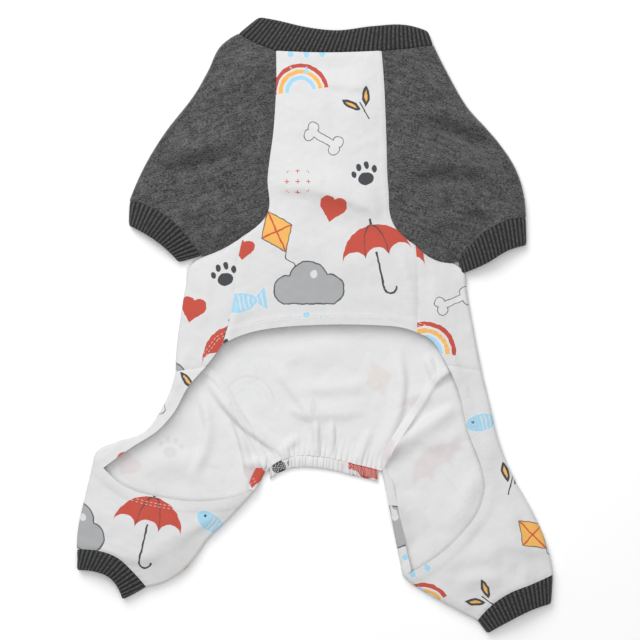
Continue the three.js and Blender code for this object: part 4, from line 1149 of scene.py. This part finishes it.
def tail_casing(suit):
    """The elastic's casing: a flattened, gathered tube, with the print on both ends and the wrong side
    between them.
    """
    path = casing_path(suit, CASING_STEPS)
    share = np.linspace(0, 1, CASING_STEPS + 1)
    gather = np.sin(share * 2 * np.pi * 24 + 2.2 * np.sin(share * 23) + 1.3 * np.sin(share * 57 + 1))
    half_height = suit.size.casing_height / 2 + 0.5
    half_top = suit.size.casing_thickness / 2
    net = np.empty((CASING_STEPS + 1, CASING_RING, 3))
    for k, angle in enumerate(np.linspace(0, 2 * np.pi, CASING_RING, endpoint=False)):
        c, s = math.cos(angle), math.sin(angle)
        frill = 0.5 * gather * (1 if s > -0.2 else 0.3)
        y = 0.7 - half_height - c * (half_height - 0.3 * (1 - c) * gather)
        z = half_top + math.copysign(abs(s) ** 0.8, s) * half_top + frill * max(s, 0)
        net[:, k] = path + np.column_stack([0.25 * frill * c, y, z])
    net[..., 2] = np.maximum(net[..., 2], 0)

    row, step, faces = tube_corners(CASING_STEPS + 1, CASING_RING)
    first = share[row[:, :1]]
    start = np.where(first[..., None] < 0.5, *CASING_PRINTS)
    run, drift, turn = CASING_PRINT_RUN
    flats = start + np.stack([run * share[row], drift * share[row] + turn * step], -1)
    plain = (first >= CASING_ENDS[0]) & (first <= CASING_ENDS[1])
    mesh = new_mesh("tail_casing_cloth", net.reshape(-1, 3), faces, flats)
    mesh.polygons.foreach_set("material_index", plain[:, 0].astype(int).tolist())
    face_outwards(mesh)
    piece = put(mesh.name, mesh, [print_material(), wrong_side_material()], "tail_casing")
    give_wall(piece, CASING_WALL)
    piece.data.shade_smooth()


# Stitches


def stitched(pieces, places, directions, lowest):
    """The stitches of a row on the highest cloth under them: middle, direction and the cloth's normal."""
    found = []
    for place, direction in zip(places, directions):
        start = Vector((place[0] * MM, place[1] * MM, 0.05))
        hits = [piece.ray_cast(start, Vector((0, 0, -1))) for piece in pieces]
        tops = [(hit[1].z, hit[2]) for hit in hits if hit[0]]
        z, normal = max(tops, key=lambda top: top[0], default=(0, None))
        if z > lowest * MM:
            found.append((Vector((start.x, start.y, z)), Vector((*direction, 0)), normal))
    return found


def spaced(path, pitch):
    """Places along a path at a pitch, with the direction along it and the one across it at each."""
    count = int(np.linalg.norm(np.diff(path[:, :2], axis=0), axis=1).sum() / pitch)
    way = np.linspace(0, 1, count)
    at = np.column_stack([np.interp(way, ways(path), path[:, k]) for k in range(2)])
    along = np.gradient(at, axis=0)
    along /= np.linalg.norm(along, axis=1, keepdims=True)
    return at, along, np.column_stack([-along[:, 1], along[:, 0]])


def hem_rows(suit, pieces):
    """Two rows of stitches beside each hem."""
    found = []
    for path in hem_paths(suit):
        at, along, aside = spaced(path, suit.size.stitch_length + STITCH_GAP)
        for row in STITCH_ROWS:
            for side in (-1, 1):
                found += stitched(pieces, at + side * (suit.size.hem_depth - row) * aside, along, LAYERS[1])
    return found


def casing_rows(suit, pieces):
    """Zigzag stitches over both ends of the casing, where its printed side shows."""
    at, along, aside = spaced(casing_path(suit, 200), ZIGZAG_PITCH)
    share = np.linspace(0, 1, len(at))
    shown = (share < ZIGZAG_ENDS[0]) | (share > ZIGZAG_ENDS[1])
    zigzag = np.where(np.arange(len(at)) % 2, 1.0, -1.0)[:, None] * aside
    found = []
    for row in ZIGZAG_ROWS:
        places = at - row * aside + 0.35 * zigzag
        found += stitched(pieces, places[shown], (along + 1.2 * zigzag)[shown], 0.5)
    return found


def hem_stitches(suit):
    """One stitch, shaped once and copied to its place along each hem and over the casing's ends."""
    names = ("chest_panel", "back_panel", "hind_leg_left", "hind_leg_right")
    pieces = [bpy.data.objects[name + "_cloth"] for name in names]
    rows = hem_rows(suit, pieces) + casing_rows(suit, [bpy.data.objects["tail_casing_cloth"]])
    bpy.ops.object.select_all(action="DESELECT")
    bpy.ops.mesh.primitive_uv_sphere_add(segments=6, ring_count=4, radius=0.5)
    first = bpy.context.object
    bpy.ops.object.mode_set(mode="EDIT")
    bpy.ops.mesh.select_all(action="SELECT")
    bpy.ops.transform.resize(value=(suit.size.stitch_length * MM, STITCH_WIDTH * MM, STITCH_THICKNESS * MM))
    bpy.ops.object.mode_set(mode="OBJECT")
    shape = np.array([vertex.co[:] for vertex in first.data.vertices])
    # Sorted, because Blender gives the sphere's faces in another order each time
    polygons = sorted(list(polygon.vertices) for polygon in first.data.polygons)
    bpy.data.objects.remove(first, do_unlink=True)
    places, faces = [], []
    for middle, along, normal in rows:
        along = (along - normal * along.dot(normal)).normalized()
        turned = shape @ np.array([along[:], normal.cross(along)[:], normal[:]]) + np.array(middle[:])
        faces += [[k + len(places) for k in polygon] for polygon in polygons]
        places += turned.tolist()
    mesh = bpy.data.meshes.new("hem_stitches")
    mesh.from_pydata(places, [], faces)
    mesh.shade_smooth()
    put("hem_stitches", mesh, [thread_material()])


# Node trees


class Value:
    """A number or a vector in a node tree, worked on with plain arithmetic."""

    def __init__(self, tree, socket):
        self.tree = tree
        self.socket = socket

    def node(self, kind, operation, *values):
        made = self.tree.nodes.new(kind)
        made.operation = operation
        for plug, value in zip(made.inputs, (self, *values)):
            connect(self.tree, plug, value)
        return made

    def number(self, operation, *values):
        return Value(self.tree, self.node("ShaderNodeMath", operation, *values).outputs[0])

    def vector(self, operation, *values):
        return Value(self.tree, self.node("ShaderNodeVectorMath", operation, *values).outputs[0])

    def length(self):
        return Value(self.tree, self.node("ShaderNodeVectorMath", "LENGTH").outputs["Value"])

    def __add__(self, other):
        return self.number("ADD", other)

    def __sub__(self, other):
        return self.number("SUBTRACT", other)

    def __rsub__(self, other):
        return self.number("MULTIPLY_ADD", -1.0, other)

    def __mul__(self, other):
        return self.number("MULTIPLY", other)

    def __truediv__(self, other):
        return self.number("DIVIDE", other)

    def __or__(self, other):
        return self.number("MAXIMUM", other)

    def __and__(self, other):
        return self.number("MINIMUM", other)

    def __abs__(self):
        return self.number("ABSOLUTE")

    def clamped(self):
        made = self.node("ShaderNodeMath", "MULTIPLY", 1.0)
        made.use_clamp = True
        return Value(self.tree, made.outputs[0])

    def split(self):
        made = self.tree.nodes.new("ShaderNodeSeparateXYZ")
        connect(self.tree, made.inputs[0], self)
        return Value(self.tree, made.outputs[0]), Value(self.tree, made.outputs[1])


def connect(tree, plug, value):
    if isinstance(value, Value):
        tree.links.new(value.socket, plug)
    else:
        plug.default_value = value


def combined(x, y):
    made = x.tree.nodes.new("ShaderNodeCombineXYZ")
    connect(x.tree, made.inputs[0], x)
    connect(x.tree, made.inputs[1], y)
    return Value(x.tree, made.outputs[0])


def mixed(tree, share, first, second):
    """A colour between two others."""
    made = tree.nodes.new("ShaderNodeMix")
    made.data_type = "RGBA"
    made.clamp_factor = True
    connect(tree, made.inputs[0], share)
    for plug, value in ((made.inputs[6], first), (made.inputs[7], second)):
        connect(tree, plug, value if isinstance(value, Value) else (*value, 1.0))
    return Value(tree, made.outputs[2])


def noise(tree, place, scale, detail=2.0, roughness=0.5):
    made = tree.nodes.new("ShaderNodeTexNoise")
    connect(tree, made.inputs["Vector"], place)
    made.inputs["Scale"].default_value = scale
    made.inputs["Detail"].default_value = detail
    made.inputs["Roughness"].default_value = roughness
    return Value(tree, made.outputs["Fac"])


# The print. Each motif gives its shapes as depths inside their edges, in millimetres, with their inks.


def disc(place, x, y, radius):
    return radius - place.vector("SUBTRACT", (x, y, 0)).length()


def oval(place, x, y, wide, high):
    scaled = place.vector("SUBTRACT", (x, y, 0)).vector("MULTIPLY", (1 / wide, 1 / high, 0))
    return (1.0 - scaled.length()) * min(wide, high)


def box(place, x, y, wide, high):
    across, up = place.vector("SUBTRACT", (x, y, 0)).vector("ABSOLUTE").split()
    return (wide - across) & (high - up)


def cloud(place):
    x, y = place.split()
    body = disc(place, -6.5, -0.6, 4.6) | disc(place, 0.2, 2.2, 6.4) | disc(place, 7, -0.4, 4.8)
    body = (body | box(place, 0, -2.8, 7.5, 2.4)) & (y + 5)
    return [(body + 0.5, "charcoal"), (body, "grey"), (disc(place, 2.0, 4.6, 1.3), "cotton")]


def umbrella(place):
    x, y = place.split()
    scallops = disc(place, -8.7, 0, 4.35) | disc(place, 0, 0, 4.35) | disc(place, 8.7, 0, 4.35)
    dome = disc(place, 0, 0, 13) & y & (0.0 - scallops)
    ribs = 0.35 - abs(place.vector("MULTIPLY", (3.0, 1, 0)).length() - 13)
    hook = (0.45 - abs(disc(place, 2.2, -11, 2.2))) & (-10.8 - y)
    return [
        (box(place, 0, -4, 0.45, 7) | hook, "charcoal"),
        (dome, "red"),
        (ribs & dome, "charcoal"),
        (box(place, 0, 14, 0.5, 1.2), "charcoal"),
    ]


def drops(place):
    cell = place.vector("WRAP", (4.6, 5.6, 1), (-4.6, -5.6, -1))
    x, y = cell.split()
    point = ((3.4 - y) * 0.5 - abs(x)) & (y + 1.0)
    return [((disc(cell, 0, -1, 1.75) | point) & oval(place, 0, 0, 14, 12), "blue")]


def rainbow(place):
    x, y = place.split()
    far = place.length()
    bands = ((7, "blue"), (10.2, "mustard"), (13.4, "red"))
    return [((1.15 - abs(far - reach)) & y, ink) for reach, ink in bands]


def kite(place):
    x, y = place.split()
    body = (1.0 - abs(x) / 7 - abs(y - 1) / 9.5) * 5
    wave = (y * 0.7).number("SINE") * 1.3
    tail = (0.35 - abs(x - wave)) & (-8.5 - y) & (y + 20)
    cross = (0.35 - (abs(x) & abs(y - 1))) & body
    return [(tail, "charcoal"), (body + 0.45, "charcoal"), (body, "mustard"), (cross, "red")]


def leaves(place):
    x, y = place.split()
    half = combined(abs(x), y)
    leaf = disc(half, -1, 7, 8.2) & disc(half, 9.5, 0.5, 8.2)
    return [(box(place, 0, -2, 0.4, 5), "charcoal"), (leaf, "charcoal"), (leaf - 1.3, "mustard")]


def paw(place):
    x, y = place.split()
    half = combined(abs(x), y)
    toes = oval(half, 2.2, 5.4, 1.5, 2.2) | oval(half, 5.7, 2.3, 1.5, 2.1)
    return [(toes | oval(half, 0, -1.6, 4.4, 3.5), "charcoal")]


def bone(place):
    quarter = place.vector("ABSOLUTE")
    body = box(quarter, 0, 0, 7, 1.8) | disc(quarter, 7.4, 2.2, 2.8)
    return [(body + 0.3, "charcoal"), (body - 0.2, "cotton")]


def heart(place):
    x, y = place.split()
    half = combined(abs(x), y)
    return [(((6.4 - abs(x) - abs(y)) * 0.707) | disc(half, 3.2, 3.2, 4.5), "red")]


def crosses(place):
    cell = place.vector("WRAP", (3.4, 3.4, 1), (-3.4, -3.4, -1))
    return [((box(cell, 0, 0, 1.5, 0.35) | box(cell, 0, 0, 0.35, 1.5)) & oval(place, 0, 0, 12, 8), "red")]


def fish(place):
    x, y = place.split()
    tail = ((x - 4.8) * 0.8 - abs(y)) & (11.5 - x)
    body = oval(place, -1.5, 0, 8.5, 4.6) | tail
    bands = 0.45 - abs((x * 1.4).number("PINGPONG", 3.0) - 1.5)
    return [(body, "blue"), (bands & (body - 0.8) & (x + 3), "cotton"), (disc(place, -6, 1, 0.8), "charcoal")]


MOTIFS = {
    "cloud": cloud,
    "umbrella": umbrella,
    "drops": drops,
    "rainbow": rainbow,
    "kite": kite,
    "leaves": leaves,
    "paw": paw,
    "bone": bone,
    "heart": heart,
    "crosses": crosses,
    "fish": fish,
}


def ink_tree(name):
    """A node group from a place and a softness to a colour and its cover, with the values of its inputs."""
    group = bpy.data.node_groups.new(name, "ShaderNodeTree")
    group.interface.new_socket("Place", in_out="INPUT", socket_type="NodeSocketVector")
    group.interface.new_socket("Softness", in_out="INPUT", socket_type="NodeSocketFloat")
    group.interface.new_socket("Colour", in_out="OUTPUT", socket_type="NodeSocketColor")
    group.interface.new_socket("Cover", in_out="OUTPUT", socket_type="NodeSocketFloat")
    start = group.nodes.new("NodeGroupInput")
    return group, Value(group, start.outputs[0]), Value(group, start.outputs[1])


def printed_over(group, under, layers):
    """Ends a group with its layers of masks and inks, each over those before it."""
    cover = None
    for mask, ink in layers:
        under = mixed(group, mask, under or ink, ink)
        cover = mask if cover is None else cover | mask
    end = group.nodes.new("NodeGroupOutput")
    connect(group, end.inputs[0], under)
    connect(group, end.inputs[1], cover)
    return group


def ink_group(name, parts_of, inks):
    """A motif as a node group."""
    group, place, softness = ink_tree(name)
    layers = [((depth / softness + 0.5).clamped(), inks[ink]) for depth, ink in parts_of(place)]
    return printed_over(group, None, layers)


def print_group(inks):
    """The whole repeat: a node group that gives the print's colour and cover at a place of the flat cloth."""
    if "cotton_print" in bpy.data.node_groups:
        return bpy.data.node_groups["cotton_print"]
    motifs = {name: ink_group(name, parts, inks) for name, parts in MOTIFS.items()}
    group, place, softness = ink_tree("cotton_print")
    place = place.vector("SCALE")
    place.socket.node.inputs["Scale"].default_value = 1 / MM
    wobble = group.nodes.new("ShaderNodeTexNoise")
    wobble.inputs["Scale"].default_value = 0.22
    wobble.inputs["Detail"].default_value = 1.0
    connect(group, wobble.inputs["Vector"], place)
    shaky = Value(group, wobble.outputs["Color"]).vector("SUBTRACT", (0.5, 0.5, 0.5))
    place = place.vector("ADD", shaky.vector("MULTIPLY", (PRINT_WOBBLE, PRINT_WOBBLE, 0)))
    half = (PRINT_TILE[0] / 2, PRINT_TILE[1] / 2, 1)
    layers = []
    for name, u, v, turn, size in PRINT_REPEAT:
        own = place.vector("SUBTRACT", (u, v, 0)).vector("WRAP", half, tuple(-one for one in half))
        turned = group.nodes.new("ShaderNodeMapping")
        turned.vector_type = "TEXTURE"
        turned.inputs["Rotation"].default_value = (0, 0, math.radians(turn))
        turned.inputs["Scale"].default_value = (size, size, 1)
        connect(group, turned.inputs["Vector"], own)
        motif = group.nodes.new("ShaderNodeGroup")
        motif.node_tree = motifs[name]
        group.links.new(turned.outputs[0], motif.inputs[0])
        connect(group, motif.inputs[1], softness)
        layers.append((Value(group, motif.outputs[1]), Value(group, motif.outputs[0])))
    return printed_over(group, (1.0, 1.0, 1.0), layers)


# Materials


def finished(name, roughness, sheen, dress):
    """The material of this name. The first time it is made, and dress gives it its colour and its bump."""
    if name in bpy.data.materials:
        return bpy.data.materials[name]
    made = bpy.data.materials.new(name)
    made.use_nodes = True
    shader = made.node_tree.nodes["Principled BSDF"]
    shader.inputs["Roughness"].default_value = roughness
    shader.inputs["Sheen Weight"].default_value = sheen
    shader.inputs["Sheen Roughness"].default_value = 0.5
    shader.inputs["Specular IOR Level"].default_value = 0.25
    dress(made.node_tree, shader, bpy.context.scene.jumpsuit_colours)
    return made


def coordinates(tree, output):
    return Value(tree, tree.nodes.new("ShaderNodeTexCoord").outputs[output])


def add_colour(tree, shader, share, first, second):
    connect(tree, shader.inputs["Base Color"], mixed(tree, share, first, second))


def add_bump(tree, shader, height, distance):
    """Bump from a height, with its distance in millimetres."""
    bump = tree.nodes.new("ShaderNodeBump")
    bump.inputs["Distance"].default_value = distance * MM
    bump.inputs["Strength"].default_value = 1.0
    connect(tree, bump.inputs["Height"], height)
    tree.links.new(bump.outputs[0], shader.inputs["Normal"])


def darker(colour, share):
    return tuple(channel * share for channel in colour)


def stretched(tree, place, x, y):
    made = tree.nodes.new("ShaderNodeMapping")
    made.inputs["Scale"].default_value = (x, y, 1)
    connect(tree, made.inputs["Vector"], place)
    return Value(tree, made.outputs[0])


def waves(tree, place, scale, distortion):
    """Parallel waves across the cloth, and their node."""
    made = tree.nodes.new("ShaderNodeTexWave")
    made.inputs["Scale"].default_value = scale
    made.inputs["Distortion"].default_value = distortion
    connect(tree, made.inputs["Vector"], place)
    return Value(tree, made.outputs["Fac"]), made


def knit_height(tree, flat):
    """The fine wales of the jersey, with the unevenness of washed cotton."""
    wales, node = waves(tree, flat, 320.0, 1.5)
    node.inputs["Detail"].default_value = 1.0
    fine = noise(tree, flat, 900.0, 3.0, 0.6)
    soft = noise(tree, flat, 90.0, 3.0, 0.5)
    crumpled = abs(noise(tree, flat, 38.0, 2.0, 0.5) - 0.5)
    return wales * 0.25 + fine * 0.5 + soft * 4.0 + crumpled * 14.0


def cotton_finish(name, side, printed, softness):
    """One side of the jersey, with how strongly the print shows there and how soft its edges are."""

    def dress(tree, shader, colours):
        cotton = getattr(colours, side)
        inks = {key: getattr(colours, key) for key in INKS}
        flat = coordinates(tree, "UV")
        design = tree.nodes.new("ShaderNodeGroup")
        design.node_tree = print_group(inks)
        connect(tree, design.inputs[0], flat)
        design.inputs[1].default_value = softness
        cover = Value(tree, design.outputs[1]) * printed
        base = mixed(tree, noise(tree, flat, 240.0, 3.0, 0.6), cotton, darker(cotton, 0.955))
        add_colour(tree, shader, cover, base, Value(tree, design.outputs[0]))
        add_bump(tree, shader, knit_height(tree, flat), 0.12)

    return finished(name, 0.88, 0.12, dress)


def print_material():
    return cotton_finish("printed_jersey", "cotton", 0.96, 0.35)


def wrong_side_material():
    return cotton_finish("jersey_wrong_side", "wrong_side", 0.11, 2.4)


def fleece_material():
    def dress(tree, shader, colours):
        flat = coordinates(tree, "UV")
        fibres = noise(tree, stretched(tree, flat, 560, 2300), 1.0, 3.0, 0.65)
        clumps = noise(tree, stretched(tree, flat, 130, 420), 1.0, 2.0, 0.6)
        patches = noise(tree, flat, 60.0, 2.0, 0.5)
        share = (fibres * 4.2 + clumps * 1.3 + patches * 0.4 - 2.5).clamped()
        add_colour(tree, shader, share, colours.fleece_dark, colours.fleece_light)
        fuzz = noise(tree, flat, 1500.0, 2.0, 0.7)
        add_bump(tree, shader, fibres * 0.7 + fuzz * 0.6 + clumps * 0.6, 0.22)

    return finished("heather_fleece", 0.95, 0.35, dress)


def rib_material():
    def dress(tree, shader, colours):
        flat = coordinates(tree, "UV")
        across, _ = flat.split()
        pitch = bpy.context.scene.jumpsuit_sizes.rib_pitch
        # Painted highlight along each rib's crest, where the light yarn shows, and painted shade in the
        # valleys between ribs, which stay dark
        painted_crest_highlight = (across * (math.tau / pitch)).number("COSINE") * 0.5 + 0.5
        yarn = noise(tree, stretched(tree, flat, 900, 600), 1.0, 3.0, 0.65)
        share = (painted_crest_highlight * (yarn * 3.0 - 0.85)).clamped()
        add_colour(tree, shader, share, colours.rib_dark, colours.rib_light)
        loops, node = waves(tree, flat, 260.0, 2.0)
        node.bands_direction = "Y"
        add_bump(tree, shader, loops * 0.5 + yarn, 0.15)

    return finished("charcoal_rib", 0.92, 0.2, dress)


def thread_material():
    def dress(tree, shader, colours):
        twist = noise(tree, coordinates(tree, "Object"), 4000.0, 1.0)
        add_colour(tree, shader, twist, colours.thread, darker(colours.thread, 0.86))

    return finished("white_thread", 0.6, 0.1, dress)


def floor_material():
    def dress(tree, shader, colours):
        faint = noise(tree, coordinates(tree, "Object"), 6.0, 1.0)
        add_colour(tree, shader, faint, colours.floor, darker(colours.floor, 0.995))

    return finished("pale_floor", 0.9, 0.0, dress)


# Operators


class JUMPSUIT_OT_collar(bpy.types.Operator):
    """Knits the ribbed collar round the neck"""

    bl_idname = "jumpsuit.collar"
    bl_label = "Collar"

    def execute(self, context):
        suit = garment(context)
        seam = chain(suit.left.neck, suit.neck_front, backwards(suit.right.neck))
        ribbed_band("collar", suit, seam, suit.collar_edge)
        return {"FINISHED"}


class JUMPSUIT_OT_cuffs(bpy.types.Operator):
    """Knits the four ribbed cuffs of the sleeves and legs"""

    bl_idname = "jumpsuit.cuffs"
    bl_label = "Cuffs"

    def execute(self, context):
        suit = garment(context)
        for lines in suit.sides:
            ribbed_band("sleeve_cuff_" + lines.name, suit, lines.cuff_seam, lines.cuff_edge)
            ribbed_band("leg_cuff_" + lines.name, suit, lines.leg_seam, lines.leg_edge)
        return {"FINISHED"}


class JUMPSUIT_OT_sleeves(bpy.types.Operator):
    """Sews both fleece sleeves"""

    bl_idname = "jumpsuit.sleeves"
    bl_label = "Sleeves"

    def execute(self, context):
        suit = garment(context)
        for lines in suit.sides:
            sleeve(suit, lines)
        return {"FINISHED"}


class JUMPSUIT_OT_chest_panel(bpy.types.Operator):
    """Sews the printed chest panel"""

    bl_idname = "jumpsuit.chest_panel"
    bl_label = "Chest panel"

    def execute(self, context):
        chest_panel(garment(context))
        return {"FINISHED"}


class JUMPSUIT_OT_back_panel(bpy.types.Operator):
    """Sews the back, which turns round both sides up to the chest seams"""

    bl_idname = "jumpsuit.back_panel"
    bl_label = "Back panel"

    def execute(self, context):
        back_panel(garment(context))
        return {"FINISHED"}


class JUMPSUIT_OT_hind_legs(bpy.types.Operator):
    """Sews both hind legs"""

    bl_idname = "jumpsuit.hind_legs"
    bl_label = "Hind legs"

    def execute(self, context):
        suit = garment(context)
        for lines in suit.sides:
            hind_leg(suit, lines)
        return {"FINISHED"}


class JUMPSUIT_OT_tail_casing(bpy.types.Operator):
    """Gathers the casing over its elastic at the tail"""

    bl_idname = "jumpsuit.tail_casing"
    bl_label = "Tail casing"

    def execute(self, context):
        tail_casing(garment(context))
        return {"FINISHED"}


class JUMPSUIT_OT_hem_stitches(bpy.types.Operator):
    """Stitches the hems of the belly and the leg openings, and both ends of the casing"""

    bl_idname = "jumpsuit.hem_stitches"
    bl_label = "Hem stitches"

    def execute(self, context):
        hem_stitches(garment(context))
        return {"FINISHED"}


class JUMPSUIT_OT_stage(bpy.types.Operator):
    """Sets out the pale floor, the soft lights and the camera straight above"""

    bl_idname = "jumpsuit.stage"
    bl_label = "Stage"

    def execute(self, context):
        stage = context.scene.jumpsuit_stage
        bpy.ops.object.select_all(action="DESELECT")
        bpy.ops.mesh.primitive_plane_add(size=FLOOR_SIZE, location=FLOOR_PLACE)
        floor = context.object
        floor.name = "floor"
        floor.data.materials.append(floor_material())

        data = bpy.data.cameras.new("camera")
        data.lens = stage.lens
        data.sensor_width = SENSOR_WIDTH
        camera = bpy.data.objects.new("camera", data)
        height = VIEW_WIDTH * MM * stage.lens / SENSOR_WIDTH
        camera.location = (VIEW_MIDDLE[0] * MM, VIEW_MIDDLE[1] * MM, height + VIEW_HEIGHT * MM)
        context.collection.objects.link(camera)
        context.scene.camera = camera

        for (name, wide, place), power in zip(LIGHTS, (stage.front_power, stage.side_power)):
            light = bpy.data.lights.new(name, "AREA")
            light.shape = "DISK"
            light.size = wide
            light.energy = power
            lamp = bpy.data.objects.new(name, light)
            lamp.location = place
            lamp.rotation_euler = (-Vector(place)).to_track_quat("-Z", "Y").to_euler()
            context.collection.objects.link(lamp)

        world = bpy.data.worlds.new("studio")
        world.use_nodes = True
        world.node_tree.nodes["Background"].inputs["Color"].default_value = (1.0, 1.0, 1.0, 1.0)
        world.node_tree.nodes["Background"].inputs["Strength"].default_value = stage.fill
        context.scene.world = world
        context.scene.view_settings.view_transform = "Standard"
        return {"FINISHED"}


class JUMPSUIT_PT_panel(bpy.types.Panel):
    """The jumpsuit's pieces, sizes and colours in the sidebar"""

    bl_idname = "JUMPSUIT_PT_panel"
    bl_label = "Jumpsuit"
    bl_space_type = "VIEW_3D"
    bl_region_type = "UI"
    bl_category = "Jumpsuit"

    def draw(self, context):
        layout = self.layout
        for operator in OPERATORS:
            layout.operator(operator.bl_idname)
        scene = context.scene
        for group in (scene.jumpsuit_sizes, scene.jumpsuit_colours, scene.jumpsuit_stage):
            frame_box = layout.box()
            for key in type(group).__annotations__:
                frame_box.prop(group, key)


GROUPS = (JumpsuitSizes, JumpsuitColours, JumpsuitStage)
OPERATORS = (
    JUMPSUIT_OT_collar,
    JUMPSUIT_OT_cuffs,
    JUMPSUIT_OT_sleeves,
    JUMPSUIT_OT_chest_panel,
    JUMPSUIT_OT_back_panel,
    JUMPSUIT_OT_hind_legs,
    JUMPSUIT_OT_tail_casing,
    JUMPSUIT_OT_hem_stitches,
    JUMPSUIT_OT_stage,
)


def register():
    for one in (*GROUPS, *OPERATORS, JUMPSUIT_PT_panel):
        bpy.utils.register_class(one)
    bpy.types.Scene.jumpsuit_sizes = PointerProperty(type=JumpsuitSizes)
    bpy.types.Scene.jumpsuit_colours = PointerProperty(type=JumpsuitColours)
    bpy.types.Scene.jumpsuit_stage = PointerProperty(type=JumpsuitStage)


def unregister():
    del bpy.types.Scene.jumpsuit_sizes
    del bpy.types.Scene.jumpsuit_colours
    del bpy.types.Scene.jumpsuit_stage
    for one in reversed((*GROUPS, *OPERATORS, JUMPSUIT_PT_panel)):
        bpy.utils.unregister_class(one)


def main():
    register()
    for operator in OPERATORS:
        group, name = operator.bl_idname.split(".")
        getattr(getattr(bpy.ops, group), name)()


if __name__ == "__main__":
    main()
